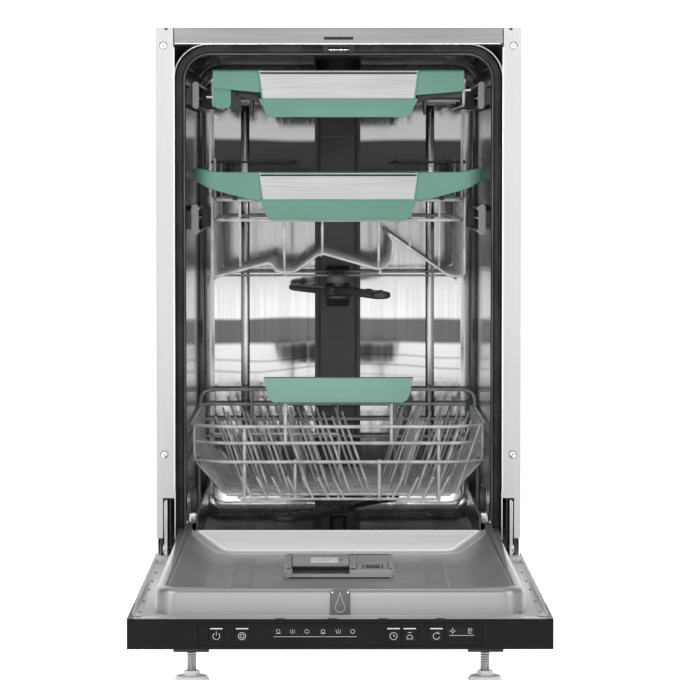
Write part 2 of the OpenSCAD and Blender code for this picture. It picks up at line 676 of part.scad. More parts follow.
module tray_frame() color([0.2, 0.2, 0.21]) {
  z = tray_z;
  difference() {
    slab(-tray_x, tray_x, tray_y0, tray_y1, z, z + 24);
    slab(-tray_x + 4, tray_x - 4, tray_y0 + 4, tray_y1 - 4, z - 1, z + 25);
  }
  // floor grid
  for (i = [-3:3]) slab(i * 42 - 2, i * 42 + 2, tray_y0 + 3, tray_y1 - 3, z, z + 4);
  for (j = [1:7]) let (y = tray_y0 + j * (tray_y1 - tray_y0) / 8)
    slab(-tray_x + 3, tray_x - 3, y - 2, y + 2, z, z + 4);
  // gliders in the rails
  for (y = [glider_y, tray_y1 - 60])
    slab_pair(tray_x - eps, rail_x - 2 - slide_gap, y, y + 40, tray_rail_z - 12.3, tray_rail_z + 12.3);
}

// Outline of a handle: a middle grip with round lower corners and two raised wings.
module grip_outline(top_x, low_x, z0, z1, r) polygon(concat(
  [[top_x, z1], [-top_x, z1]], arc(-low_x + r, z0 + r, r, 190, 270, 6),
  arc(low_x - r, z0 + r, r, 270, 350, 6)));

module plate_outline(x, z0, z1, lean) polygon([[x, z1], [-x, z1], [-x + lean, z0], [x - lean, z0]]);

module tray_handle() color([0.45, 0.63, 0.56]) {
  z1 = tray_grip_z;
  difference() {
    union() {
      along_y(handle_y, tray_y0 - 0.05) grip_outline(99, 92, z1 - 59, z1, 12);
      along_y(handle_y + 2, tray_y0 - 0.05) polygon([[-tray_x + 5, z1], [-tray_x + 5, z1 - 22], [0, z1 - 30],
        [tray_x - 5, z1 - 22], [tray_x - 5, z1]]);
    }
    along_y(handle_y - 1, handle_y + 1.6) plate_outline(96.5, z1 - 35.6, z1 - 7, 3);
    // grip hollow behind the plate, open below
    slab(-86, 86, handle_y + 4, tray_y0 + 1, z1 - 60, z1 - 40);
  }
}

module tray_plate() color([0.75, 0.75, 0.75])
  along_y(handle_y + 0.2, handle_y + 1.55) plate_outline(96.3, tray_grip_z - 35.4, tray_grip_z - 7.2, 3);

// ---- middle basket -------------------------------------------------------

module middle_hoop(y) {
  f = mid_floor_z;
  s = mid_x;
  bent_wire([[-s, y, mid_rim_z], [-s, y, f], [-85, y, f + 19], [-77, y, f + 7], [-55, y, f + 7],
    [-22, y, f + 31], [52, y, f + 10], [66, y, f + 20], [69, y, f + 46], [60, y, f + 57],
    [s - 19, y, f + 2], [s, y, f + 2], [s, y, mid_rim_z]], tine_d);
}

module middle_basket() color([0.62, 0.62, 0.62]) {
  hoops = 6;
  f = mid_floor_z;
  hoop_y = mid_y0 + 26;
  for (i = [0:hoops - 1])
    middle_hoop(hoop_y + i * (mid_y1 - hoop_y - 12) / (hoops - 1));
  // rim frame and the low frame
  o = mid_x - weld_thin;
  for (z = [mid_rim_z - 2, mid_rim_z - 27]) {
    bent_wire([[0, mid_y0, z], [o - 24, mid_y0, z], [o, mid_y0 + 24, z], [o, mid_y1, z], [-o, mid_y1, z],
      [-o, mid_y0 + 24, z], [-o + 24, mid_y0, z], [0, mid_y0, z]], wire_d);
  }
  // front wires, from the rim down to the first hoop
  for (x = [-mid_x + 35, -67, -20, 50, 89, mid_x - 32])
    wire([x, mid_y0 + weld_thin - 0.4, mid_rim_z - 1], [x, hoop_y, lookup(x, [[-mid_x, f], [-85, f + 19],
      [-77, f + 7], [-55, f + 7], [-22, f + 31], [52, f + 10], [70, f + 48], [mid_x - 19, f + 2]])], tine_d);
  // feed pipe of the spray arm, hung under the floor
  slab(-9, 9, arm_y - 9, tub_y1 - 36, mid_floor_z - 12, mid_floor_z - 2.2);
  translate([0, arm_y, mid_floor_z - 12]) cylinder(d = 30, h = 9.8);
  translate([0, arm_y, mid_arm_z - 7]) cylinder(d = 12, h = 24);
  translate([0, arm_y, mid_arm_z - 10]) cylinder(d = 24, h = 3);
  for (y = [arm_y + 20, mid_y1 - 24]) slab(-3, 3, y - 3, y + 3, mid_floor_z - 3, mid_floor_z + 26);
  // struts that tie the pipe to the frame
  for (y = [arm_y + 40, mid_y1 - 3])
    wire([-mid_x + 1, y, mid_floor_z - 4], [mid_x - 1, y, mid_floor_z - 4], tine_d);
  for (s = [-1, 1]) for (y = [arm_y + 40, mid_y1 - 3])
    wire([s * (mid_x - 3.2), y, mid_floor_z - 6], [s * (mid_x - 3.2), y, mid_rim_z - 26], tine_d);
  // posts of the cup shelves
  for (s = [-1, 1]) for (y = [mid_y0 + 50, mid_y0 + 296])
    wire([s * (mid_x - 2.5), y, mid_rim_z - 28], [s * (mid_x - 2.5), y, shelf_z + 4], tine_d);
}

module middle_handle() color([0.44, 0.64, 0.56]) {
  z1 = mid_grip_z;
  end_x = tub_x - 8;
  difference() {
    union() {
      along_y(handle_y, mid_y0 - 3) grip_outline(98, 91, z1 - 65, z1 - 0.5, 12);
      along_y(handle_y + 1, mid_y0 - 3) polygon([[-end_x, z1 - 1], [-end_x, z1 - 14], [-mid_x - 3, z1 - 24],
        [-92, z1 - 40], [92, z1 - 40], [mid_x + 3, z1 - 24], [end_x, z1 - 14], [end_x, z1 - 1]]);
      // arms that wrap back along the basket's sides
      slab_pair(end_x - 4, end_x, handle_y + 1, mid_y0 + 60, z1 - 14, z1 - 1);
    }
    along_y(handle_y - 1, handle_y + 1.6) plate_outline(96.5, z1 - 40.4, z1 - 5, 3);
  }
  // clips over the basket's rim
  for (s = [-1, 1]) slab(s * 130 - 6, s * 130 + 6, mid_y0 - 3.1, mid_y0 - 2.2, z1 - 36, z1 - 28);
}

module middle_plate() color([0.75, 0.75, 0.75])
  along_y(handle_y + 0.2, handle_y + 1.55) plate_outline(96.3, mid_grip_z - 40.2, mid_grip_z - 5.2, 3);

// Height adjusters: plates on gliders, which the basket climbs in clicks.
module middle_carriages() color([0.3, 0.3, 0.31]) for (s = [0, 1]) mirror([s, 0, 0])
  for (y = [glider_y - 6, mid_y1 - 76]) {
    slab(mid_x + 3, mid_x + 7, y, y + 60, mid_rail_z - 18, mid_rim_z + 24);
    slab(mid_x + 7 - eps, rail_x - slide_gap - 2, y + 8, y + 52, mid_rail_z - 13, mid_rail_z + 13);
  }

module middle_rails() color([0.5, 0.5, 0.5]) for (s = [0, 1]) mirror([s, 0, 0]) {
  rail(mid_rail_z, 31, 8);
  rail_cap(mid_rail_z, 39, rail_x - 9, rail_x + 2);
}

// Flat curved arm that turns on a hub; pairs of short slots are its jets.
module spray_arm(r, w, t, bore) difference() {
  linear_extrude(t) union() {
    circle(r = w * 0.7, $fn = 48);
    for (a = [0, 180]) rotate(a) polygon(concat([[0, -w / 2], [r * 0.5, -w / 2 + 4]],
      arc(r - w / 2 + 1, 3, w / 2 - 1.5, -70, 110, 8), [[r * 0.45, w / 2 + 4], [0, w / 2]]));
  }
  translate([0, 0, -1]) cylinder(d = bore, h = t + 2);
  for (a = [0, 180]) rotate(a) for (i = [1:4])
    translate([r * (0.22 + 0.17 * i), 2, -1]) cylinder(d = 3, h = t + 2, $fn = 16);
}

module middle_spray_arm() color([0.28, 0.28, 0.29])
  translate([0, arm_y, mid_arm_z - 5]) rotate(-71) spray_arm(middle_arm_r, 28, 10, 13);

module cup_shelf(length, y0) {
  y1 = mid_y0 + 292;
  translate([mid_x + 1, y0 + 4, shelf_z]) rotate([-90, 0, 0]) cylinder(d = 4, h = y1 - y0 - 8);
  difference() {
    slab(mid_x - length, mid_x + 1, y0 + 6, y1 - 6, shelf_z - 1.5, shelf_z + 1.5);
    for (i = [0:5]) let (w = (y1 - y0 - 12 - 7 * 6) / 6, y = y0 + 12 + i * (w + 6))
      slab(mid_x - length + 8, mid_x - 8, y, y + w, shelf_z - 2, shelf_z + 2);
  }
}

module cup_shelf_left() color([0.12, 0.12, 0.12]) mirror([1, 0, 0]) cup_shelf(100, mid_y0 + 54);
module cup_shelf_right() color([0.12, 0.12, 0.12]) cup_shelf(82, mid_y0 + 54);

// ---- lower basket --------------------------------------------------------

module lower_hoop(y) {
  s = low_x - wire_d;
  bent_wire([[-s, y, low_rim_z], [-s, y, low_floor_z + 38], [-low_floor_x - 8, y, low_floor_z + 14],
    [-low_floor_x, y, low_floor_z], [low_floor_x, y, low_floor_z], [low_floor_x + 8, y, low_floor_z + 14],
    [s, y, low_floor_z + 38], [s, y, low_rim_z]], tine_d);
}

module lower_basket() color([0.62, 0.62, 0.62]) {
  hoops = 9;
  for (i = [0:hoops - 1])
    lower_hoop(low_y0 + 26 + i * (low_y1 - low_y0 - 52) / (hoops - 1));
  o = low_x - 1;
  for (z = [low_rim_z, low_rim_z - 20.5, low_rim_z - 44])
    bent_wire([[0, low_y0, z], [o - 40, low_y0, z], [o, low_y0 + 30, z], [o, low_y1 - 12, z],
      [o - 12, low_y1, z], [-o + 12, low_y1, z], [-o, low_y1 - 12, z], [-o, low_y0 + 30, z],
      [-o + 40, low_y0, z], [0, low_y0, z]], wire_d);
  // long floor wires, under the hoops
  for (i = [-2:2])
    wire([i * 62, low_y0 + 4, low_floor_z - weld_thin], [i * 62, low_y1 - 4, low_floor_z - weld_thin], wire_d);
  // upright front and rear wires
  for (x = [-117, -54, 51, 125]) {
    wire([x, low_y0 + weld, low_floor_z - 8], [x, low_y0 + weld, low_rim_z - (abs(x) < 60 ? 42 : 0)], wire_d);
    wire([x, low_y1 - weld, low_floor_z - 5], [x, low_y1 - weld, low_rim_z + 20], wire_d);
  }
  for (y = [low_y0 + 2 * weld, low_y1 - 2 * weld])
    wire([-low_floor_x, y, low_floor_z - 3], [low_floor_x, y, low_floor_z - 3], wire_d);
  // uprights of the grip
  for (x = [-66, 66])
    wire([x, low_y0 + weld, low_rim_z - 22], [x, low_y0 + weld, low_rim_z + 40], wire_d);
  // wheel brackets with their axle stubs
  for (s = [0, 1]) mirror([s, 0, 0]) for (y = [wheel_y0, wheel_y1]) {
    slab(wheel_x - wheel_w / 2 - 4.5, wheel_x - wheel_w / 2 - 1, y - 9, y + 9,
      wheel_z - 8, low_rim_z - 47);
    translate([wheel_x - wheel_w / 2 - 2, y, wheel_z]) rotate([0, 90, 0])
      cylinder(d = wheel_axle_d, h = wheel_w + 2.8);
    slab(wheel_x - wheel_w / 2 - 4.5, low_x - wire_d - 0.3, y - 9, y + 9, low_rim_z - 50, low_rim_z - 46);
    slab(wheel_x - wheel_w / 2 - 4, low_x - 2, y - 9, y + 9, low_rim_z - 47, low_rim_z - 42);
  }
}

module lower_handle() color([0.49, 0.66, 0.6]) difference() {
  z1 = low_rim_z + 62;
  along_y(low_y0 - 8, low_y0 + 1) grip_outline(93, 84, z1 - 32, z1, 12);
  slab(-78, 78, low_y0 - 4, low_y0 + 2, z1 - 24, z1 - 5);
}

module wheel_pair(y) for (s = [-1, 1]) translate([s * wheel_x, y, wheel_z]) rotate([0, 90, 0])
  difference() {
    translate([0, 0, -wheel_w / 2]) cylinder(d = wheel_d, h = wheel_w, $fn = 64);
    translate([0, 0, -wheel_w]) cylinder(d = wheel_axle_d + 2 * pin_clear, h = 2 * wheel_w);
    for (a = [0:60:300]) rotate(a) translate([wheel_d * 0.31, 0, -wheel_w])
      cylinder(d = 4, h = 2 * wheel_w, $fn = 16);
  }

module wheels_front() color([0.3, 0.3, 0.31]) wheel_pair(wheel_y0);
module wheels_rear() color([0.3, 0.3, 0.31]) wheel_pair(wheel_y1);

// Folding row of tines on a rod that lies above the floor wires.
module tine_row(x, lean, n, h) {
  z = low_floor_z + 6;
  y0 = low_y0 + 60;
  step = (low_y1 - low_y0 - 120) / (n - 1);
  translate([x, y0 - 8, z]) rotate([-90, 0, 0]) cylinder(d = wire_d, h = low_y1 - 44 - y0);
  for (i = [0:n - 1])
    wire([x, y0 + i * step, z], [x + h * sin(lean), y0 + i * step, z + h * cos(lean)], tine_d);
}

module tine_row_left() color([0.6, 0.6, 0.6]) tine_row(-42, -15, 8, 84);
module tine_row_right() color([0.6, 0.6, 0.6]) tine_row(84, 15, 8, 84);

module lower_spray_arm() color([0.26, 0.26, 0.27])
  translate([0, lower_arm_y, tub_floor + 32]) rotate(-117) {
    spray_arm(lower_arm_r, 30, 12, 13);
    translate([0, 0, -4]) difference() {
      cylinder(d = 34, h = 4 + eps);
      translate([0, 0, -1]) cylinder(d = 13, h = 8);
    }
  }

tub();
side_panel_left();
side_panel_right();
top_plate();
rear_panel();
base_tray();
door_gasket();
sump();
circulation_pump();
drain_pump();
water_softener();
inlet_valve();
mains_inlet();
water_duct();
rail_brackets();
latch_strike();
hinge_brackets();
balance_springs();
side_screws();
foot_front_left();
foot_front_right();
foot_rear();
filter_cup();
salt_cap();
door_panel();
door_liner();
control_panel();
control_board();
indicator_lights();
dispenser_body();
door_lock();
wheel_guides();
hinge_arms();
power_button();
program_button();
delay_button();
half_load_button();
start_button();
detergent_lid();
rinse_aid_cap();
tray_frame();
tray_handle();
tray_plate();
tray_rails();
middle_basket();
middle_handle();
middle_plate();
middle_carriages();
middle_rails();
middle_spray_arm();
cup_shelf_left();
cup_shelf_right();
lower_basket();
lower_handle();
wheels_front();
wheels_rear();
tine_row_left();
tine_row_right();
lower_spray_arm();
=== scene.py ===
"""A slim built-in dishwasher, door open, dressed piece by piece round its working frame."""

import math

import bmesh
import bpy
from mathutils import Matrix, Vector


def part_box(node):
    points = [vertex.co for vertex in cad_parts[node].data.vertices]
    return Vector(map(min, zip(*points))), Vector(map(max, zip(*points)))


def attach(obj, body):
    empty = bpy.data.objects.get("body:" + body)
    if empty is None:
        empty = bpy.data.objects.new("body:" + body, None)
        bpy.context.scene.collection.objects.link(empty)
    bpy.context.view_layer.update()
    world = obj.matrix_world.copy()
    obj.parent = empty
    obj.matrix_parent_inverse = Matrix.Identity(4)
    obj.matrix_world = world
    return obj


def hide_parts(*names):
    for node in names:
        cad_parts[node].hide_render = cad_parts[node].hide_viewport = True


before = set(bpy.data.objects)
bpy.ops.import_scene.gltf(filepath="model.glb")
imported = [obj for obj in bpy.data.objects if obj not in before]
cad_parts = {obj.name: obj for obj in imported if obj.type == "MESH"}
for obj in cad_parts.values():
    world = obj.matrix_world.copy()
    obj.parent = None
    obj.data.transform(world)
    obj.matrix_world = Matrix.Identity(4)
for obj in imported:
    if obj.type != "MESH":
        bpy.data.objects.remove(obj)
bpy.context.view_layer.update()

# ---- Camera ------------------------------------------------------------------------
# A long lens at about a person's chest height, square to the machine and tipped down a
# little, so that the open door is seen from above.
mm = 0.001
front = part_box("side_panel_left")[0].y / mm
camera_lens = bpy.data.cameras.new("camera")
camera_lens.lens = 184.45
camera_lens.sensor_width = 36
camera_lens.clip_end = 30
camera = bpy.data.objects.new("camera", camera_lens)
camera.location = (-0.01164, front * mm - 4.27, 0.6447)
camera.rotation_euler = (math.radians(90 - 2.843), 0, math.radians(-0.18))
bpy.context.scene.collection.objects.link(camera)
bpy.context.scene.camera = camera
bpy.context.scene.view_settings.view_transform = "Standard"


# ---- Finishes ----------------------------------------------------------------------
# How a finish is mixed. Field is one value that varies over a surface, and Finish is the
# material it belongs to, with every texture laid out in the machine's own space.
class Field:
    """A socket of a finish. Its operators add the Math nodes that they stand for."""

    def __init__(self, finish, socket):
        self.finish = finish
        self.socket = socket

    def maths(self, operation, *values):
        inputs = dict(enumerate(values))
        return self.finish.node("ShaderNodeMath", {"operation": operation}, inputs)

    def __add__(self, other):
        return self.maths("ADD", self, other)

    __radd__ = __add__

    def __mul__(self, other):
        return self.maths("MULTIPLY", self, other)

    __rmul__ = __mul__


class Finish:
    """A material in the making: its surface shader and the nodes that vary it."""

    def __init__(self, name, **constants):
        self.material = bpy.data.materials.new(name)
        self.material.use_nodes = True
        self.tree = self.material.node_tree
        self.surface = self.tree.nodes["Principled BSDF"]
        for socket, value in constants.items():
            self.give(socket.replace("_", " "), value)
        self.place = self.node("ShaderNodeTexCoord", output="Object")

    def node(self, kind, settings=None, inputs=None, output=0):
        """Any node: its settings first, then the values or links of its sockets."""
        made = self.tree.nodes.new(kind)
        for name, value in (settings or {}).items():
            if name == "stops":
                for stop, (position, colour) in zip(made.color_ramp.elements, value):
                    stop.position = position
                    stop.color = colour
            else:
                setattr(made, name, value)
        for name, value in (inputs or {}).items():
            self.join(value, made.inputs[name])
        return Field(self, made.outputs[output])

    def join(self, value, socket):
        if isinstance(value, Field):
            self.tree.links.new(value.socket, socket)
        else:
            socket.default_value = value

    def give(self, socket, value):
        """Sets or links one socket of the surface shader."""
        self.join(value, self.surface.inputs[socket])
        return self

    def stretched(self, x, y, z):
        """The machine's own space, with each axis scaled, in metres."""
        return self.node("ShaderNodeVectorMath", {"operation": "MULTIPLY"}, {0: self.place, 1: (x, y, z)})

    def noise(self, x, y, z, detail=2.0, roughness=0.5):
        return self.node("ShaderNodeTexNoise", None,
                         {"Vector": self.stretched(x, y, z), "Scale": 1.0, "Detail": detail,
                          "Roughness": roughness})

    def levels(self, value, low, high, to_low=0.0, to_high=1.0):
        """Spreads values between low and high over a new range, and stops at its ends."""
        inputs = {"Value": value, "From Min": low, "From Max": high, "To Min": to_low, "To Max": to_high}
        return self.node("ShaderNodeMapRange", {"interpolation_type": "SMOOTHSTEP"}, inputs)

    def blend(self, share, first, second):
        return self.node("ShaderNodeMix", {"data_type": "RGBA"}, {0: share, 6: first, 7: second}, output=2)

    def part_of_place(self, axis):
        return self.node("ShaderNodeSeparateXYZ", None, {0: self.place}, output=axis)

    def relief(self, height, distance, strength=1.0):
        bump = self.node("ShaderNodeBump", None, {"Height": height, "Distance": distance * mm,
                                                  "Strength": strength})
        return self.give("Normal", bump)


def paint(red, green=None, blue=None):
    """A colour given in 0 to 255 steps as it looks on a screen, or one grey."""
    parts = (red, red, red) if green is None else (red, green, blue)
    return tuple((part / 255) ** 2.2 for part in parts) + (1.0,)


def sheet_steel(name, light, dark, grain, roughness=0.3, wave=0.0, metallic=1.0):
    """Rolled or brushed steel. The grain is finest across its rolling direction."""
    steel = Finish(name, Metallic=metallic, IOR=2.2)
    lines = steel.noise(*grain, detail=3)
    clouds = steel.noise(7, 7, 5, detail=3)
    shade = steel.levels(lines * 0.6 + clouds * 0.4, 0.36, 0.64)
    steel.give("Base Color", steel.blend(shade, paint(dark), paint(light)))
    steel.give("Roughness", steel.levels(lines, 0.3, 0.7, roughness - 0.06, roughness + 0.07))
    steel.relief(lines * 0.04 + steel.noise(5, 5, 2.2, detail=1) * wave, 1.0, 0.5)
    return steel.material


def moulded(name, colour, deep, roughness=0.5, grain=0.05, coat=0.0, shine=0.4):
    """Moulded plastic: a fine spark-eroded grain and a faint cloud in its colour."""
    plastic = Finish(name, Coat_Weight=coat, Coat_Roughness=0.25, Specular_IOR_Level=shine)
    clouds = plastic.noise(14, 14, 14, detail=3)
    specks = plastic.noise(1700, 1700, 1700, detail=1)
    plastic.give("Base Color", plastic.blend(plastic.levels(clouds, 0.35, 0.65), deep, colour))
    plastic.give("Roughness", plastic.levels(clouds + specks * 0.4, 0.5, 0.9, roughness - 0.05,
                                             roughness + 0.07))
    plastic.relief(specks, grain, 0.6)
    return plastic.material


# ---- Studio ------------------------------------------------------------------------
# A white table that runs up into a white wall, a broad lamp from the front on each side,
# and one overhead. None of it belongs to the machine.
white = Finish("studio_white", Base_Color=(0.93, 0.93, 0.93, 1), Roughness=1.0)
white.give("Emission Color", (1, 1, 1, 1))
white.give("Emission Strength", 0.97)


def backdrop():
    """A table and wall in one sheet, curved where they meet."""
    mesh = bmesh.new()
    turn_y, turn_r, half = 9.0, 0.8, 14.0
    line = [(-14.0, 0.0), (turn_y, 0.0)]
    line += [(turn_y + turn_r * math.sin(a), turn_r - turn_r * math.cos(a))
             for a in [math.radians(15 * step) for step in range(1, 7)]]
    line += [(turn_y + turn_r, 9.0)]
    rows = [[mesh.verts.new((x, y, z)) for x in (-half, half)] for y, z in line]
    for low, high in zip(rows, rows[1:]):
        mesh.faces.new((low[0], low[1], high[1], high[0]))
    data = bpy.data.meshes.new("backdrop")
    mesh.to_mesh(data)
    data.materials.append(white.material)
    made = bpy.data.objects.new("backdrop", data)
    bpy.context.scene.collection.objects.link(made)
    return made


backdrop()

sky = bpy.data.worlds.new("sky")
sky.use_nodes = True
sky.node_tree.nodes["Background"].inputs["Color"].default_value = (1, 1, 1, 1)
sky.node_tree.nodes["Background"].inputs["Strength"].default_value = 0.25
bpy.context.scene.world = sky


def lamp(name, place, target, width, height, power):
    light = bpy.data.lights.new(name, "AREA")
    light.shape = "RECTANGLE"
    light.size = width
    light.size_y = height
    light.energy = power
    made = bpy.data.objects.new(name, light)
    made.location = place
    made.rotation_euler = (Vector(target) - Vector(place)).to_track_quat("-Z", "Y").to_euler()
    bpy.context.scene.collection.objects.link(made)


lamp("lamp_left", (-2.1, -2.6, 1.7), (0, 0.1, 0.45), 0.9, 1.8, 30)
lamp("lamp_right", (2.1, -2.6, 1.7), (0, 0.1, 0.45), 0.9, 1.8, 25)
lamp("lamp_front", (0.0, -5.6, 2.2), (0, 0.3, 0.5), 2.4, 1.2, 42)
lamp("lamp_top", (0.0, -0.4, 3.0), (0, 0, 0.4), 1.6, 1.6, 12)
lamp("card_front", (0.0, -6.4, 0.75), (0, 0.5, 0.5), 3.2, 1.4, 8)


# ---- Casing sides, top and back -----------------------------------------------------
# Folded galvanised sheet. Each side ends in a satin front flange, and the top and back
# plates hook into the sides. They are pressed, folded and screwed.
class Shape:
    """The mesh of one piece, built up in millimetres in the machine's own space."""

    def __init__(self):
        self.mesh = bmesh.new()

    def rows(self, lines, around=True, ring=False, capped=True):
        """A skin through lines of points. around closes each line, ring joins last to first."""
        made = [[self.mesh.verts.new(Vector(point) * mm) for point in line] for line in lines]
        pairs = list(zip(made, made[1:])) + ([(made[-1], made[0])] if ring else [])
        for low, high in pairs:
            last = len(low) if around else len(low) - 1
            for i in range(last):
                j = (i + 1) % len(low)
                self.mesh.faces.new((low[i], low[j], high[j], high[i]))
        if capped and around and not ring:
            self.mesh.faces.new(made[0][::-1])
            self.mesh.faces.new(made[-1])
        return self

    def slab(self, outline, start, end, axis="y"):
        """A flat outline made solid between two places along an axis."""
        def at(point, along):
            u, v = point
            return {"x": (along, u, v), "y": (u, along, v), "z": (u, v, along)}[axis]
        return self.rows([[at(p, start) for p in outline], [at(p, end) for p in outline]])

    def block(self, x0, x1, y0, y1, z0, z1):
        return self.slab([(x0, z0), (x1, z0), (x1, z1), (x0, z1)], y0, y1)

    def turned(self, profile, centre, axis="z", steps=40):
        """A profile of (radius, height) pairs turned round an axis through centre."""
        order = {"x": (2, 0, 1), "y": (0, 2, 1), "z": (0, 1, 2)}[axis]
        rows = []
        for radius, height in profile:
            line = []
            for i in range(steps):
                angle = 2 * math.pi * i / steps
                flat = (radius * math.cos(angle), radius * math.sin(angle), height)
                line.append([flat[order[k]] + centre[k] for k in range(3)])
            rows.append(line)
        return self.rows(rows)

    def bevelled(self, width, angle=30, steps=2):
        """Rounds every edge that is sharper than angle."""
        bmesh.ops.recalc_face_normals(self.mesh, faces=self.mesh.faces[:])
        sharp = [e for e in self.mesh.edges
                 if len(e.link_faces) == 2 and e.calc_face_angle() > math.radians(angle)]
        bmesh.ops.bevel(self.mesh, geom=sharp, offset=width * mm, segments=steps, profile=0.5,
                        affect="EDGES", clamp_overlap=True)
        return self

    def mirrored(self):
        """Adds the same shape on the machine's other side."""
        copy = bmesh.ops.duplicate(self.mesh, geom=self.mesh.verts[:] + self.mesh.edges[:]
                                   + self.mesh.faces[:])
        verts = [g for g in copy["geom"] if isinstance(g, bmesh.types.BMVert)]
        faces = [g for g in copy["geom"] if isinstance(g, bmesh.types.BMFace)]
        bmesh.ops.scale(self.mesh, vec=(-1, 1, 1), verts=verts)
        bmesh.ops.reverse_faces(self.mesh, faces=faces)
        return self

    def piece(self, name, body, slot, finish, replaces=(), thickness=0.0, facing=True):
        """Turns the mesh into an object that rides on a body."""
        if facing:
            bmesh.ops.recalc_face_normals(self.mesh, faces=self.mesh.faces[:])
        for face in self.mesh.faces:
            face.smooth = True
        for edge in self.mesh.edges:
            if len(edge.link_faces) == 2 and edge.calc_face_angle() > math.radians(38):
                edge.smooth = False
        data = bpy.data.meshes.new(name)
        self.mesh.to_mesh(data)
        self.mesh.free()
        data.materials.append(finish)
        made = bpy.data.objects.new(name, data)
        bpy.context.scene.collection.objects.link(made)
        if thickness:
            wall = made.modifiers.new("wall", "SOLIDIFY")
            wall.thickness = abs(thickness) * mm
            wall.offset = math.copysign(1, thickness)
        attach(made, body)
        if replaces:
            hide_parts(*replaces)
        return made


def edges_of(node):
    """A node's lowest and highest corners, in millimetres."""
    low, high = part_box(node)
    return [value / mm for value in (*low, *high)]


def dress(finish, *nodes):
    """Gives frame pieces whose shape is already right their finish."""
    for node in nodes:
        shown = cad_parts[node]
        shown.data.materials.clear()
        shown.data.materials.append(finish)
        for face in shown.data.polygons:
            face.use_smooth = False


half_width = edges_of("side_panel_right")[3]
top = edges_of("side_panel_right")[5]
satin_flange = sheet_steel("satin_flange", 198, 190, (300, 300, 8), roughness=0.52, metallic=0.35)
top_strip_steel = sheet_steel("top_strip_steel", 147, 138, (6, 300, 300), roughness=0.42, metallic=0.8)
galvanised = Finish("galvanised_sheet", Metallic=0.9, IOR=2.0)
spangle = galvanised.node("ShaderNodeTexVoronoi", {"feature": "F1"},
                          {"Vector": galvanised.stretched(1, 1, 1), "Scale": 95.0, "Randomness": 1.0},
                          output="Color")
spangle_grey = galvanised.node("ShaderNodeSeparateColor", None, {0: spangle}, output=0)
dull_clouds = galvanised.noise(5, 5, 5, detail=4)
galvanised.give("Base Color", galvanised.blend(spangle_grey * 0.5 + dull_clouds * 0.5, paint(140, 143, 146),
                                               paint(176, 179, 182)))
galvanised.give("Roughness", galvanised.levels(spangle_grey + dull_clouds * 0.5, 0.2, 1.3, 0.34, 0.5))
galvanised.relief(spangle_grey, 0.03, 0.4)
dress(satin_flange, "side_panel_left", "side_panel_right")
dress(galvanised.material, "rear_panel")


def top_sheet():
    """The cover sheet and the strip it turns down over the mouth."""
    x0, y0, z0, x1, y1, z1 = edges_of("top_plate")
    z1 -= 0.02
    shape = Shape().block(x0, x1, y0 + 1.2, y1, z1 - 1, z1)
    shape.block(x0 + 22, x1 - 22, y0, y0 + 1, z0, z1)
    for x in (-150, 0, 150):
        for step in (-1, 1):
            shape.block(x - 45, x + 45, 330 + 70 * step, 334 + 70 * step, z1 - 1.6, z1 - 0.9)
    return shape.bevelled(0.3)


top_sheet().piece("top_cover", "cabinet", "galvanised", top_strip_steel, ["top_plate"])
clip_black = moulded("clip_black", paint(30), paint(22), roughness=0.45)
corner = Shape()
corner.block(half_width - 20, half_width - 1.2, front + 1.2, front + 24, top - 1.1, top - 0.2)
corner.block(half_width - 15, half_width - 11.5, front - 0.3, front + 0.4, top - 3.2, top - 0.9)
corner.mirrored().piece("corner_clips", "cabinet", "black_plastic", clip_black)
# Painted highlight: each flange's folded inner edge is drawn in a brighter, glossier copy of the flange
# steel.
hem = Shape()
hem.block(200.6, 202.2, front - 0.2, front + 6, 247, top - 24)
hem.bevelled(0.4).mirrored()
hem.piece("flange_hems", "cabinet", "casing_sheet",
          sheet_steel("hem_steel_painted_highlight", 250, 240, (200, 200, 6), roughness=0.3))

# ---- Casing screws ------------------------------------------------------------------
# Four pan-head screws with a star socket that hold each side to the front frame, driven
# into bright washers.
screw_steel = sheet_steel("screw_steel", 250, 226, (400, 400, 400), roughness=0.28)
screw_x = half_width - 10
screw_heights = (top - 22, top - 523.3)
screw_places = [(side * screw_x, z) for side in (-1, 1) for z in screw_heights]


def star(radius, inner, points=6):
    return [((radius if i % 2 else inner) * math.cos(math.pi * i / points),
             (radius if i % 2 else inner) * math.sin(math.pi * i / points)) for i in range(2 * points)]


def casing_screws():
    shape = Shape()
    for x, z in screw_places:
        shape.turned([(4.4, 0), (4.4, -0.5), (3.9, -1.2), (2.7, -1.7), (1.6, -1.8)], (x, front, z), "y", 28)
    return shape


def painted_screw_shade():
    """Painted shade: a dark star in each head where its socket lies in shade, and a thin dark ring of
    painted shadow round the washer.
    """
    shape = Shape()
    for x, z in screw_places:
        shape.slab([(x + u, z + v) for u, v in star(1.25, 0.8)], front - 1.84, front - 1.7)
        shape.rows([[(x + radius * math.cos(math.radians(a)), front - out,
                      z + radius * math.sin(math.radians(a)))
                     for a in range(0, 360, 12)]
                    for radius, out in ((4.9, 0.05), (4.9, 0.12), (4.45, 0.12), (4.45, 0.05))], ring=True)
    return shape


casing_screws().piece("casing_screws", "cabinet", "screw_head", screw_steel, ["side_screws"])
# The screws' painted shade: dark stars in the sockets and dark rings round the washers.
painted_screw_shade().piece("painted_screw_shade", "cabinet", "screw_head",
                      moulded("socket_shadow", paint(120), paint(96)))

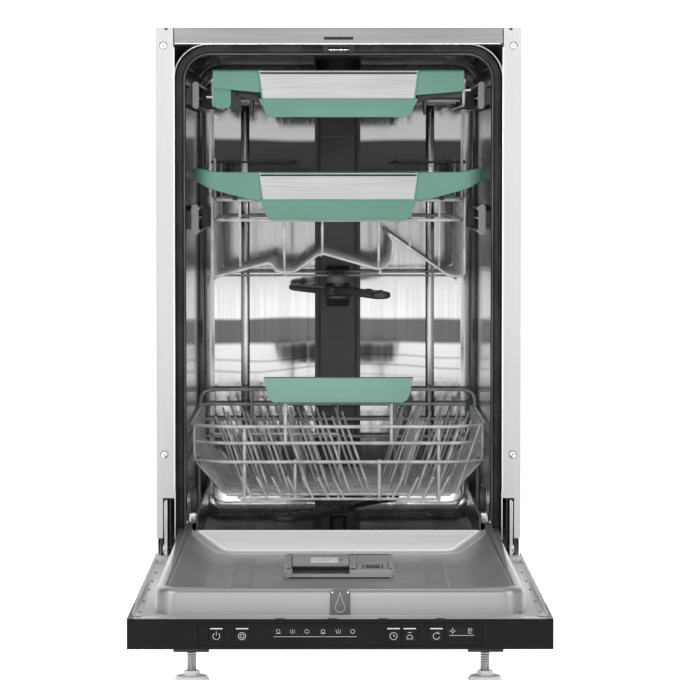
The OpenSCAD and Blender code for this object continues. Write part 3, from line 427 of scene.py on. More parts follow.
# ---- Tub ----------------------------------------------------------------------------
# The tank: one deep-drawn stainless shell with rounded corners, a stepped mouth for the
# seal, two vertical beads in its back wall, and a rolled track along each side.
tub_x = edges_of("tub")[3] - 11.7
tub_top = edges_of("tub")[5] - 12.2
mouth_back = front + 41
tub_back = edges_of("tub")[4] - 1.2
tub_floor = edges_of("salt_cap")[5] - 18.3
sill = tub_floor + 21
tub_steel = Finish("tub_steel", Metallic=1.0, IOR=2.4)
rolling = tub_steel.noise(240, 240, 1.6, detail=3)
broad = tub_steel.noise(26, 26, 0.7, detail=2)
sheen = tub_steel.levels(rolling * 0.45 + broad * 0.55, 0.38, 0.62)
tub_steel.give("Base Color", tub_steel.blend(sheen, paint(196), paint(226)))
tub_steel.give("Roughness", tub_steel.levels(rolling, 0.3, 0.7, 0.13, 0.22))
tub_steel.relief(tub_steel.noise(7, 7, 1.1, detail=1) + rolling * 0.002, 1.2, 0.25)
# The back wall's steel has reflections painted into its colour: two dark bands across it, faint wavy lines
# low down and a darker foot.
back_steel = Finish("tub_back_steel_painted_reflections", IOR=2.4)
back_height = back_steel.part_of_place("Z")
ripple = back_steel.noise(3.2, 1, 5.5, detail=2)
shifted = back_height + ripple * 0.024
painted_reflection_band = back_steel.levels(shifted, 0.412, 0.419) * back_steel.levels(shifted, 0.452, 0.446)
painted_reflection_upper_band = back_steel.levels(shifted, 0.646, 0.654) * back_steel.levels(shifted, 0.698, 0.69)
painted_reflection_waves = back_steel.node("ShaderNodeMath", {"operation": "SINE"}, {0: (back_height + ripple * 0.05) * 420.0})
painted_reflection_lines = back_steel.levels(painted_reflection_waves, 0.55,
                              1.0) * back_steel.levels(shifted, 0.41,
                                                       0.4) * back_steel.levels(shifted, 0.362, 0.375)
painted_reflection_foot = back_steel.levels(shifted, 0.42, 0.33)
painted_reflection_mix = 0.06 + painted_reflection_band * 0.86 + painted_reflection_upper_band * 1.0 + painted_reflection_lines * 0.3 + painted_reflection_foot * 0.26
back_steel.give("Base Color", back_steel.blend(painted_reflection_mix, paint(214), paint(52)))
back_steel.give("Roughness", back_steel.levels(back_steel.noise(220, 220, 1.6, detail=2), 0.3, 0.7, 0.05,
                                               0.1))
back_steel.give("Metallic", back_steel.levels(ripple, 0.3, 0.7, 0.78, 0.88))
back_steel.relief(ripple, 0.8, 0.3)


def bow(radius, start, end, steps, cu=0, cv=0):
    """Points of an arc about (cu, cv), from one angle in degrees to another."""
    angles = [math.radians(start + (end - start) * i / steps) for i in range(steps + 1)]
    return [(cu + radius * math.cos(a), cv + radius * math.sin(a)) for a in angles]


def rounded_rectangle(x, low, high, radius, steps=8):
    """A rectangle with round corners, centred across the machine, as flat points."""
    corners = ((x - radius, high - radius, 0), (radius - x, high - radius, 90),
               (radius - x, low + radius, 180), (x - radius, low + radius, 270))
    return [point for cu, cv, turn in corners for point in bow(radius, turn, turn + 90, steps, cu, cv)]


def round_box(x, z0, z1, radius, y):
    """A rounded rectangle that stands across the machine."""
    return [(u, y, v) for u, v in rounded_rectangle(x, z0, z1, radius)]


def arch(x, z_top, radius, z_low, y, steps=10):
    """An upside-down U from one foot, over the mouth, to the other foot."""
    right = bow(radius, 0, 90, steps, x - radius, z_top - radius)
    left = bow(radius, 90, 180, steps, radius - x, z_top - radius)
    return [(u, y, v) for u, v in [(x, z_low)] + right + left + [(-x, z_low)]]


def tub_shell():
    shape = Shape()
    corner_r, rear_r = 34, 24
    rows = [round_box(tub_x + 11.7, tub_floor - 15, tub_top + 12.2, corner_r + 8, mouth_back + 0.2),
            round_box(tub_x + 3, sill - 2, tub_top + 3, corner_r - 3, mouth_back),
            round_box(tub_x, sill, tub_top, corner_r - 6, mouth_back + 1.2),
            round_box(tub_x, tub_floor + 3, tub_top, corner_r - 3, mouth_back + 4),
            round_box(tub_x, tub_floor, tub_top, corner_r, mouth_back + 9)]
    for step in range(9):
        turn = math.radians(90 * step / 8)
        inset = rear_r * (1 - math.cos(turn))
        y = tub_back - rear_r + rear_r * math.sin(turn)
        radius = max(corner_r - inset, 12)
        rows.append(round_box(tub_x - inset, tub_floor + inset, tub_top - inset, radius, y))
    shape.rows(rows, capped=False)
    shape.mesh.verts.ensure_lookup_table()
    shape.mesh.faces.new(shape.mesh.verts[-36:])
    return shape


tub_shell().piece("tub_shell", "cabinet", "stainless", tub_steel.material, ["tub"], thickness=-1.0)


def tub_beads():
    """Rounded vertical beads on the back wall, with domed ends."""
    shape = Shape()
    for x in (-126, 126):
        rows = []
        low, high = tub_floor + 34, tub_top - 30
        for z, size in ((low, 0.1), (low + 3, 0.7), (low + 8, 1), (high - 8, 1), (high - 3, 0.7),
                        (high, 0.1)):
            rows.append([(x + 6.5 * size * math.cos(a), tub_back + 0.4 - 5 * size * math.sin(a), z)
                         for a in [math.radians(20 * k) for k in range(10)]])
        shape.rows(rows)
    return shape


def tub_back_sheet():
    """The back wall's flat middle, smoother and brighter than the sides, with dark reflections painted
    across it in bands.
    """
    rows = [round_box(tub_x - 22, tub_floor + 22, tub_top - 22, 12, y)
            for y in (tub_back - 1.2, tub_back - 1.6)]
    return Shape().rows(rows)


tub_back_sheet().piece("tub_back_sheet", "cabinet", "stainless", back_steel.material)
tub_beads().piece("tub_beads", "cabinet", "stainless", tub_steel.material)


def mouth_skirt():
    """The collar that reaches forward from the tub to the casing, open along the sill."""
    shape = Shape()
    rows = [arch(tub_x + 11.7, tub_top + 12.2, 42, sill, y) for y in (front + 1.4, mouth_back + 0.3)]
    inner = [arch(tub_x + 10.5, tub_top + 11, 41, sill, y) for y in (mouth_back + 0.3, front + 1.4)]
    shape.rows(rows + inner, around=False, ring=True)
    return shape


mouth_skirt().piece("mouth_collar", "cabinet", "stainless", tub_steel.material)


def wheel_tracks():
    """Rolled steps that the basket's wheels run on."""
    track_z = tub_floor + 46
    track_x = tub_x - 14.5
    y0, y1 = mouth_back + 6, tub_back - 6
    shape = Shape()
    outline = [(tub_x - 0.4, track_z - 1.4), (track_x + 1.5, track_z - 1.4),
               (track_x + 1.2, tub_floor + 0.5),
               (track_x, tub_floor + 0.5), (track_x, track_z - 1.2), (track_x + 1.2, track_z),
               (tub_x - 0.4, track_z)]
    shape.slab(outline, y0, y1)
    return shape.mirrored()


wheel_tracks().piece("wheel_tracks", "cabinet", "stainless", tub_steel.material)

# ---- Door seal ----------------------------------------------------------------------
# One extruded rubber profile pushed into the mouth's step. It has a flat back, two
# sealing ribs and a soft groove, and a separate lip lies along the sill.
rubber = Finish("seal_rubber", Specular_IOR_Level=0.35)
blotches = rubber.noise(34, 34, 22, detail=4)
rubber.give("Base Color", rubber.blend(rubber.levels(blotches, 0.38, 0.66), paint(26), paint(58)))
rubber.give("Roughness", rubber.levels(blotches, 0.3, 0.7, 0.42, 0.62))
rubber.relief(rubber.noise(900, 900, 900, detail=1), 0.04, 0.5)
# A painted highlight: a lighter grey strip along the inner sealing rib of the black seal.
seal_painted_highlight = moulded("seal_rib_painted_highlight", paint(112), paint(84), roughness=0.5)


def seal_strip(profile, low):
    """A strip swept over the mouth from (inset, depth) points of its section."""
    rows = [arch(tub_x + 10.3 - inset, tub_top + 10.8 - inset, 42 - inset, low, front + depth) for inset,
            depth in profile]
    return Shape().rows(rows, around=False, ring=True)


seal_strip([(0, 41), (0, 31), (1.2, 30), (2.4, 30.2), (3.2, 33), (5.4, 34), (8.2, 34.4), (9, 32),
            (10.4, 31.6), (11.4, 33), (12, 37), (12, 41)], sill + 1).piece(
    "door_seal", "cabinet", "rubber", rubber.material, ["door_gasket"])
# The painted highlight strip on the seal's inner rib.
seal_strip([(9.3, 31.9), (9.7, 31.2), (10.6, 31.2), (11.1, 32.0), (10.2, 32.6)], sill + 2).piece(
    "seal_rib_painted_highlight_strip", "cabinet", "rubber", seal_painted_highlight)
sill_seal = Shape().slab([(mouth_back - 0.1, sill - 14), (mouth_back - 6, sill - 13),
                          (mouth_back - 10, sill - 6),
                          (mouth_back - 9, sill - 3), (mouth_back - 5, sill - 6),
                          (mouth_back - 0.1, sill - 1)],
                         12 - tub_x, tub_x - 12, "x")
sill_seal.piece("sill_seal", "cabinet", "rubber", rubber.material)

# ---- Latch strike -------------------------------------------------------------------
# A small black catch box above the mouth with a sprung steel bar, which the door's lock
# takes hold of. It is screwed up into the collar.
black_plastic = moulded("black_plastic", paint(42), paint(30), roughness=0.48)
bright_steel = sheet_steel("bright_steel", 226, 200, (300, 300, 40), roughness=0.24)
strike_top = tub_top + 10.4
strike = Shape()
strike.block(-19, 19, front + 22.5, front + 28, strike_top - 9, strike_top)
strike.block(-19, 19, front + 3, front + 23, strike_top - 2.4, strike_top)
strike.block(12.4, 19, front + 3, front + 23, strike_top - 9, strike_top - 2)
strike.block(-19, -12.4, front + 3, front + 23, strike_top - 9, strike_top - 2)
strike.bevelled(0.7).piece("latch_strike_box", "cabinet", "black_plastic", black_plastic, ["latch_strike"])
strike_bar = Shape().turned([(1.3, -15), (1.3, 15)], (0, front + 9, strike_top - 5.2), "x", 16)
for x in (-9, -5, 3, 8):
    strike_bar.turned([(1.3, -0.8), (2.3, -0.7), (2.3, 0.7), (1.3, 0.8)], (x, front + 9, strike_top - 5.2),
                      "x", 16)
strike_bar.piece("latch_strike_bar", "cabinet", "zinc_steel", bright_steel)
# The catch window in the cover strip above the mouth
catch = Shape().block(-18, 18, front - 0.2, front + 0.3, tub_top + 17, tub_top + 20.5)
for x in (-13, -8.5, -3, 2.5, 8, 13):
    catch.block(x - 1.6, x + 1.6, front - 0.32, front - 0.1, tub_top + 17.4, tub_top + 20.1)
catch.bevelled(0.08).piece("catch_window", "cabinet", "black_plastic", clip_black)

# ---- Water duct ---------------------------------------------------------------------
# A dark moulded duct: the riser up the middle of the back wall, with a thin flange on
# each side, a flat channel under the ceiling and the round shower head at its end.
duct_grey = moulded("duct_grey", paint(116), paint(104), roughness=0.42)
shower_y = edges_of("water_duct")[1] + 30
riser = Shape()
riser.slab([(-24, tub_back - 1.2), (-26, tub_back - 9), (-23, tub_back - 13.6), (23, tub_back - 13.6),
            (26, tub_back - 9), (24, tub_back - 1.2)], tub_floor + 0.6, tub_top - 1, "z")
riser.bevelled(0.8)
riser.block(-31, 31, tub_back - 3.2, tub_back - 1.1, tub_floor + 0.6, tub_top - 1)
riser.block(-18, 18, shower_y, tub_back - 11, tub_top - 12, tub_top - 1)
for z in range(int(tub_floor) + 60, int(tub_top) - 60, 92):
    riser.block(-20, 20, tub_back - 14.6, tub_back - 13, z, z + 2.5)
riser.piece("duct_riser", "cabinet", "black_plastic", duct_grey, ["water_duct"])
Shape().turned([(12, -1), (28.5, -1), (29.5, -4), (29, -14), (24, -19), (16, -20.5), (6, -21.5)],
               (0, shower_y, tub_top), "z", 48).piece("shower_head", "cabinet", "black_plastic",
                                                      black_plastic)
dock_z = edges_of("middle_basket")[5] - 143
socket = Shape().block(-15, 15, tub_back - 33, tub_back - 13, dock_z - 56, dock_z - 2)
for k in range(5):
    socket.block(-16, 16, tub_back - 34, tub_back - 15, dock_z - 52 + 11 * k, dock_z - 48 + 11 * k)
socket.bevelled(1.2).piece("duct_docking_port", "cabinet", "black_plastic", black_plastic)

# ---- Slide rails --------------------------------------------------------------------
# Two pairs of bright rolled channels for the cutlery tray and the middle basket, carried
# by moulded brackets on the tub's sides. A grey end cap stops the basket's rollers.
rail_steel = sheet_steel("rail_steel", 210, 186, (30, 5, 500), roughness=0.2)
cap_grey = moulded("cap_grey", paint(122), paint(110), roughness=0.5)
rail_x = edges_of("tray_rails")[3] - 0.2
rail_front = edges_of("tray_rails")[1] + 4
rail_back = edges_of("tray_rails")[4]
rail_sets = (("tray_rails", "tray_rails", 30, 7), ("middle_rails", "middle_rails", 31, 8))


def channel(shape, z, height, width):
    """A C-shaped channel with rolled lips, open towards the basket."""
    half = height / 2
    outline = [(rail_x, z - half), (rail_x, z + half), (rail_x - width, z + half),
               (rail_x - width, z + half - 3),
               (rail_x - width + 1, z + half - 3), (rail_x - width + 1, z + half - 1.2),
               (rail_x - 1.4, z + half - 1.2),
               (rail_x - 1.4, z - half + 1.2), (rail_x - width + 1, z - half + 1.2),
               (rail_x - width + 1, z - half + 3), (rail_x - width, z - half + 3),
               (rail_x - width, z - half)]
    shape.slab(outline, rail_front, rail_back)
    for k in range(8):
        y = rail_front + 30 + 52 * k
        shape.turned([(3.1, -0.3), (3.1, 0.8), (1.8, 1.6)], (rail_x - 2.4, y, z), "x", 14)


def capsule(x0, x1, z0, z1, steps=8):
    """A long oval on end, as a flat outline."""
    radius, centre = (x1 - x0) / 2, (x0 + x1) / 2
    return bow(radius, 0, 180, steps, centre,
               z1 - radius) + bow(radius, 180, 360, steps, centre, z0 + radius)


for name, node, height, width in rail_sets:
    x0, y0, z0, x1, y1, z1 = edges_of(node)
    middle_z = (z0 + z1) / 2
    rails = Shape()
    channel(rails, middle_z, height, width)
    rails.mirrored().piece(name + "_channels", node, "zinc_steel", rail_steel, [node])
    caps = Shape()
    caps.slab(capsule(x1 - width - 1.2, x1, z0, z1), y0, y0 + 7)
    caps.bevelled(1.0, steps=3)
    caps.mirrored().piece(name + "_caps", node, "rail_grey", cap_grey)
    brackets = Shape()
    for y in (rail_front + 34, rail_front + 150, rail_front + 266):
        brackets.block(rail_x + 0.7, tub_x - 0.3, y, y + 26, middle_z - 10, middle_z + 10)
        brackets.block(rail_x + 3, tub_x - 0.3, y - 6, y + 32, middle_z - 6, middle_z + 6)
    brackets.bevelled(0.8).mirrored()
    stand_for = ["rail_brackets"] if node == "tray_rails" else []
    brackets.piece(node + "_brackets", "cabinet", "black_plastic", duct_grey, stand_for)

# ---- Cutlery tray -------------------------------------------------------------------
# A shallow moulded tray of dark ribs in a bent wire cradle, with pegs that stand the
# cutlery up. It hangs by two gliders on each side.
def rounded(points, radius, steps=5):
    """A bent wire's centre line, with each corner rounded to the bender's radius."""
    line = [Vector(points[0])]
    for before, corner, after in zip(points, points[1:], points[2:]):
        back, ahead = Vector(before) - Vector(corner), Vector(after) - Vector(corner)
        reach = min(radius, back.length * 0.48, ahead.length * 0.48)
        start, end = Vector(corner) + back.normalized() * reach, Vector(corner) + ahead.normalized() * reach
        for i in range(steps + 1):
            t = i / steps
            line.append(start * (1 - t) ** 2 + Vector(corner) * 2 * t * (1 - t) + end * t ** 2)
    return line + [Vector(points[-1])]


def wires(name, paths, body, finish, replaces=()):
    """Bent wires of one piece. Each path is its points, its diameter and its bending radius."""
    curve = bpy.data.curves.new(name, "CURVE")
    curve.dimensions = "3D"
    curve.bevel_depth = 0.5 * mm
    curve.bevel_resolution = 3
    curve.use_fill_caps = True
    for points, diameter, radius in paths:
        line = rounded(points, radius) if len(points) > 2 else [Vector(p) for p in points]
        spline = curve.splines.new("POLY")
        spline.points.add(len(line) - 1)
        for point, place in zip(spline.points, line):
            point.co = (*(place * mm), 1)
            point.radius = diameter
        spline.use_smooth = True
    curve.materials.append(finish)
    made = bpy.data.objects.new(name, curve)
    bpy.context.scene.collection.objects.link(made)
    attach(made, body)
    if replaces:
        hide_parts(*replaces)
    return made


def both_sides(paths):
    return paths + [([(-x, y, z) for x, y, z in points], diameter, radius) for points, diameter,
                    radius in paths]


def dipped(name, dark, light, spread, roughness, **constants):
    """Wire dipped in nylon, a little thicker and thinner along its length."""
    nylon = Finish(name, **constants)
    dips = nylon.noise(spread, spread, spread, detail=3)
    nylon.give("Base Color", nylon.blend(nylon.levels(dips, 0.34, 0.66), paint(dark), paint(light)))
    nylon.give("Roughness", nylon.levels(dips, 0.3, 0.7, *roughness))
    nylon.relief(nylon.noise(420, 420, 420, detail=2), 0.08, 0.5)
    return nylon.material


coated_wire = dipped("coated_wire", 164, 194, 60, (0.3, 0.46),
                     Specular_IOR_Level=0.5, Coat_Weight=0.25, Coat_Roughness=0.2)
tray_dark = moulded("tray_dark", paint(64), paint(48), roughness=0.45)
_, tray_y0, tray_low, _, tray_y1, _ = edges_of("tray_frame")
tray_z = tray_low + 9.3
tray_x = 160
tray_top = tray_z + 24


def cutlery_tray():
    shape = Shape()
    outline = [(-tray_x + 2, tray_y0 + 2), (tray_x - 2, tray_y0 + 2), (tray_x - 2, tray_y1 - 2),
               (2 - tray_x, tray_y1 - 2)]
    middle_y = (tray_y0 + tray_y1) / 2
    outer = [[(x, y, z) for x, y in outline] for z in (tray_z + 0.5, tray_top - 6)]
    inner = [[(x * 0.982, (y - middle_y) * 0.985 + middle_y, z) for x, y in outline]
             for z in (tray_top - 6, tray_z + 0.5)]
    shape.rows(outer + inner, ring=True)
    for i in range(-9, 10):
        shape.block(i * 16.5 - 1, i * 16.5 + 1, tray_y0 + 4, tray_y1 - 4, tray_z + 0.6, tray_z + 3.2)
    for j in range(1, 18):
        y = tray_y0 + j * (tray_y1 - tray_y0) / 18
        shape.block(3 - tray_x, tray_x - 3, y - 1, y + 1, tray_z + 0.4, tray_z + 2.4)
    for x in (-110, -55, 0, 55, 110):
        shape.block(x - 1.2, x + 1.2, tray_y0 + 5, tray_y1 - 5, tray_z + 3, tray_z + 13)
    for side in (-1, 1):
        for y in (tray_y0 + 204, tray_y1 - 60):
            shape.block(*sorted((side * (tray_x - 2.5), side * (rail_x - 3.4))), y, y + 40, tray_z - 8,
                        tray_z + 14)
    return shape


cutlery_tray().piece("tray_moulding", "tray", "black_plastic", tray_dark, ["tray_frame"])
pegs = Shape()
for x in (-107, 107):
    for y in (tray_y0 + 6, tray_y0 + 26, tray_y0 + 46):
        pegs.turned([(2.8, 2), (2.8, -4), (2.2, -14), (1.0, -24), (0.2, -25)], (x, y, tray_z + 4), "z", 16)
for x in range(-130, 131, 20):
    for y in range(int(tray_y0) + 70, int(tray_y1) - 20, 24):
        pegs.turned([(1.4, -1), (1.2, 10), (0.5, 13)], (x, y, tray_z + 3), "z", 10)
pegs.piece("tray_pegs", "tray", "black_plastic", tray_dark)
cradle = both_sides([
    ([(154.5, tray_y0 + 1, tray_top - 4), (154.5, tray_y0 + 1, tray_z - 9),
      (154.5, tray_y0 + 30, tray_z - 9.2),
      (154.5, tray_y1 - 4, tray_z - 7)], 3.4, 8),
    ([(154.5, tray_y0 + 3, tray_top - 2), (154.5, tray_y1 - 4, tray_top - 2)], 3.2, 8),
])
cradle.append(([(-163, tray_y0 - 2, tray_z + 0.8), (-128, tray_y0 - 2, tray_z + 0.8)], 3.0, 4))
cradle.append(([(121, tray_y0 - 2, tray_z + 9), (163, tray_y0 - 2, tray_z + 9.5)], 3.0, 4))
cradle += [([(-152, y, tray_z - 2.2), (152, y, tray_z - 2.2)], 3.0, 4)
           for y in (tray_y0 + 60, tray_y0 + 200, tray_y1 - 60)]
wires("tray_cradle", cradle, "tray", coated_wire)
cradle_balls = Shape()
for x in (-154.5, 154.5):
    cradle_balls.turned([(0.3, -3), (2.2, -2.2), (3, 0), (2.2, 2.2), (0.3, 3)],
                        (x, tray_y0 - 0.5, tray_z + 21), "z", 14)
cradle_balls.piece("tray_cradle_beads", "tray", "coated_wire", coated_wire)

# ---- Handles ------------------------------------------------------------------------
# Sea-green moulded grips clipped to the front of the tray and both baskets. The two
# upper ones carry a brushed steel plate in a slanted recess.
green = Finish("handle_green", Specular_IOR_Level=0.4, Coat_Weight=0.15, Coat_Roughness=0.3)
green_clouds = green.noise(11, 11, 11, detail=3)
green_specks = green.noise(1500, 1500, 1500, detail=1)
green.give("Base Color", green.blend(green.levels(green_clouds, 0.3, 0.7), paint(89, 132, 115),
                                     paint(96, 140, 124)))
green.give("Roughness", green.levels(green_specks + green_clouds * 0.5, 0.4, 1.1, 0.42, 0.56))
green.relief(green_specks, 0.035, 0.5)
# Lit and shaded copies of the handle green: the paler one is painted light on the lower grip, the deeper
# one painted shade on the grips' top edges, the lower grip's edges and the lower basket's clip.
lit_handle_green = moulded("handle_green_painted_light", paint(126, 166, 152), paint(117, 157, 143), roughness=0.5)
shaded_handle_green = moulded("handle_green_painted_shade", paint(58, 100, 84), paint(48, 88, 74), roughness=0.5)
plate_steel = Finish("handle_plate_steel", Metallic=0.75, IOR=2.0)
plate_lines = plate_steel.noise(14, 14, 2600, detail=3)
plate_clouds = plate_steel.noise(30, 30, 60, detail=2)
plate_steel.give("Base Color", plate_steel.blend(plate_steel.levels(plate_lines, 0.3, 0.7), paint(160),
                                                 paint(186)))
plate_steel.give("Roughness", plate_steel.levels(plate_lines * 0.7 + plate_clouds * 0.3, 0.3, 0.7, 0.36,
                                                 0.5))
plate_steel.relief(plate_lines, 0.02, 0.4)
grip_y = edges_of("tray_handle")[1]


def grip_outline(top_x, low_x, z0, z1, radius, steps=7):
    """A grip's front: straight slanted ends and round lower corners."""
    left = bow(radius, 190, 270, steps, radius - low_x, z0 + radius)
    right = bow(radius, 270, 350, steps, low_x - radius, z0 + radius)
    return [(top_x, z1), (-top_x, z1)] + left + right


def plate_outline(x, z0, z1, lean):
    return [(x, z1), (-x, z1), (lean - x, z0), (x - lean, z0)]


def steel_plate(name, body, z0, z1, replaces):
    """The plate, its rolled top edge, and a black strip over it, painted shadow in the gap between them."""
    plate = Shape().slab(plate_outline(97.2, z0, z1, 4.2), grip_y + 0.15, grip_y + 1.5)
    plate.bevelled(0.35).piece(name, body, "handle_plate_steel", plate_steel.material, replaces)
    painted_shadow = Shape().block(-97.6, 97.6, grip_y + 0.35, grip_y + 1.4, z1 + 0.4, z1 + 2.2)
    painted_shadow.piece(name + "_gap", body, "black_plastic", clip_black)
    roll = Shape().block(-98, 98, grip_y + 0.1, grip_y + 1.6, z1 + 2.2, z1 + 3.8)
    roll.bevelled(0.5).piece(name + "_roll", body, "handle_plate_steel", plate_steel.material)


grip_top = edges_of("tray_handle")[5]
grip = Shape().slab(grip_outline(99.2, 92, grip_top - 58, grip_top, 12), grip_y + 1.4, tray_y0 - 0.3)
grip.slab(grip_outline(98.6, 92, grip_top - 58, grip_top - 35.2, 12), grip_y + 0.2, grip_y + 1.5)
grip.slab([(96, grip_top), (99.2, grip_top), (95.0, grip_top - 35), (91.6, grip_top - 35)], grip_y + 0.2,
          grip_y + 1.5)
grip.slab([(-96, grip_top), (-91.6, grip_top - 35), (-95.0, grip_top - 35), (-99.2, grip_top)],
          grip_y + 0.2, grip_y + 1.5)
grip.slab([(-155, grip_top - 1.4), (-155, grip_top - 22.4), (-96, grip_top - 27.6), (96, grip_top - 31),
           (155, grip_top - 26),
           (155, grip_top - 1.4)], grip_y + 2.2, tray_y0 - 0.3)
grip.bevelled(0.7)
grip.piece("tray_grip", "tray", "handle_green", green.material, ["tray_handle"])
# A strip along the grip's top edge in the deeper green: painted shade.
grip_lip = Shape().block(-155, 155, grip_y + 0.6, tray_y0 - 0.2, grip_top - 1.5, grip_top)
grip_lip.bevelled(0.4).piece("tray_grip_top", "tray", "handle_green", shaded_handle_green)
steel_plate("tray_plate_brushed", "tray", grip_top - 35, grip_top - 5, ["tray_plate"])
tab = Shape().slab([(-154.4, grip_top - 22), (-154.4, grip_top - 43), (-150, grip_top - 47.2),
                    (-136, grip_top - 47.2),
                    (-132.6, grip_top - 43), (-132.6, grip_top - 24)], grip_y + 5, tray_y0 + 1.5)
tab.bevelled(0.8).piece("tray_clip_green", "tray", "handle_green",
                        moulded("clip_green", paint(98, 146, 126), paint(88, 134, 116)))
hook = Shape().slab([(-132.4, grip_top - 26), (-132.4, grip_top - 52), (-120, grip_top - 52),
                     (-119.5, grip_top - 44),
                     (-121, grip_top - 32), (-126, grip_top - 27)], grip_y + 6, tray_y0 + 1.5)
hook.slab([(-132, grip_top - 28), (-100, grip_top - 30), (-94, grip_top - 41), (-104, grip_top - 38),
           (-121, grip_top - 33)],
          grip_y + 6, tray_y0 + 0.5)
hook.slab([(96, grip_top - 32), (96, grip_top - 41), (120, grip_top - 33), (150, grip_top - 28),
           (150, grip_top - 26)],
          grip_y + 6, tray_y0 + 0.5)
hook.bevelled(0.6).piece("tray_clip_hook", "tray", "black_plastic", black_plastic)

# ---- Middle basket ------------------------------------------------------------------
# Bent and welded wire with a pale coating. Each hoop rises and falls across the width to
# hold cups and bowls, and the rim frame bends round to the sides.
_, mid_y0, _, mid_x, mid_y1, post_top = edges_of("middle_basket")
mid_x -= 1.7
mid_y0 += 2.2
mid_y1 -= 2.2
mid_rim = post_top - 49
mid_floor = mid_rim - 99


def middle_hoop(y):
    """One hoop: down the left side, across the dips and peaks, and up the right side."""
    across = [(-mid_x, 99), (-mid_x, 0), (-85, 19), (-77, 7), (-55, 7), (-22, 31), (52, 10), (66, 20),
              (69, 46), (60, 57), (mid_x - 19, 2), (mid_x, 2), (mid_x, 99)]
    return ([(x, y, mid_floor + z) for x, z in across], 3.4, 6)


basket = [middle_hoop(mid_y0 + 20 + step * (mid_y1 - mid_y0 - 32) / 10) for step in range(11)]
frame_x = mid_x - 3.4
for z in (mid_rim - 2, mid_rim - 27):
    basket.append(([(0, mid_y0, z), (frame_x - 24, mid_y0, z), (frame_x, mid_y0 + 24, z),
                    (frame_x, mid_y1, z), (-frame_x, mid_y1, z),
                    (-frame_x, mid_y0 + 24, z), (24 - frame_x, mid_y0, z), (0, mid_y0, z)], 4.2, 12))
for x, low in ((35 - mid_x, 15), (-67, 8), (-20, 31), (50, 11), (89, 40), (mid_x - 32, 14)):
    basket.append(([(x, mid_y0 + 3, mid_rim - 1), (x, mid_y0 + 6, mid_floor + low + 12),
                    (x, mid_y0 + 22, mid_floor + low)], 3.4, 8))
for y in (mid_y0 + 246, mid_y1 - 3):
    basket.append(([(-mid_x + 2, y, mid_floor - 4), (mid_x - 2, y, mid_floor - 4)], 3.0, 4))
for x in (-mid_x + 2, -66, -22, 52, mid_x - 10):
    low = {-66: 4, -22: 28, 52: 7}.get(x, -2)
    basket.append(([(x, mid_y0 + 20, mid_floor + low), (x, mid_y1 - 12, mid_floor + low)], 3.4, 4))
basket += both_sides([([(mid_x - 2.5, y, mid_rim - 28), (mid_x - 2.5, y, mid_rim + 49)], 3.4, 4)
                      for y in (mid_y0 + 50, mid_y0 + 296)])
wires("middle_basket_wires", basket, "middle_basket", coated_wire, ["middle_basket"])
pipe = Shape().block(-9, 9, shower_y - 9, tub_back - 37, mid_floor - 12, mid_floor - 3)
pipe.block(-12, 12, tub_back - 60, tub_back - 37, mid_floor - 14, mid_floor - 1)
pipe.bevelled(1.5)
pipe.turned([(14.5, 0), (14.5, 8), (11, 10), (6, 10), (6, -16), (9, -16), (11.5, -18), (11.5, -20),
             (3, -21)],
            (0, shower_y, mid_floor - 12), "z", 36)
pipe.piece("middle_feed_pipe", "middle_basket", "black_plastic", duct_grey)
middle_top = edges_of("middle_handle")[5] - 4.9


def wing(side):
    """Sections (x, front, low, high, thickness) of a wing that sweeps back to the basket's side."""
    swept = ((90, 1.4, -37.6, -0.3, 8), (112, 1.4, -33.6, -0.3, 8), (135, 1.6, -27.6, -0.2, 7.5),
             (150, 2.4, -23.6, 0.2, 7), (160, 5, -20.6, 1.4, 6.5), (167, 9.5, -17.1, 3, 6),
             (173, 16, -13.6, 4, 5.5), (178, 24, -11.1, 4.4, 5), (180.6, 34, -9.6, 4.4, 4),
             (181, 48, -9.1, 4.4, 3.5), (181, 72, -8.6, 4.4, 3.5))
    return [(side * x, out, middle_top + low, middle_top + high, thick)
            for x, out, low, high, thick in swept]


def middle_grip():
    shape = Shape().slab(grip_outline(99, 91, middle_top - 59.6, middle_top, 12), grip_y + 1.4, mid_y0 - 3)
    shape.slab(grip_outline(97.6, 91, middle_top - 59.6, middle_top - 34.4, 12), grip_y + 0.2, grip_y + 1.5)
    for side in (1, -1):
        shape.slab([(side * 96, middle_top), (side * 99, middle_top), (side * 94.6, middle_top - 34.2),
                    (side * 91.6, middle_top - 34.2)][::side], grip_y + 0.2, grip_y + 1.5)
    shape.bevelled(0.7)
    edge = 1.1
    for side in (1, -1):
        sections = wing(side)
        rows = []
        for i, (x, out, low, high, thick) in enumerate(sections):
            before, after = sections[max(i - 1, 0)], sections[min(i + 1, len(sections) - 1)]
            along = Vector((after[0] - before[0], after[1] - before[1], 0)).normalized()
            inward = Vector((-along.y, along.x, 0)) * side
            face = Vector((x, grip_y + out, 0))
            rows.append([face + inward * deep + Vector((0, 0, z)) for deep, z in (
                (edge, low), (0, low + edge), (0, high - edge), (edge, high), (thick - edge, high),
                (thick, high - edge), (thick, low + edge), (thick - edge, low))])
        shape.rows(rows)
    return shape


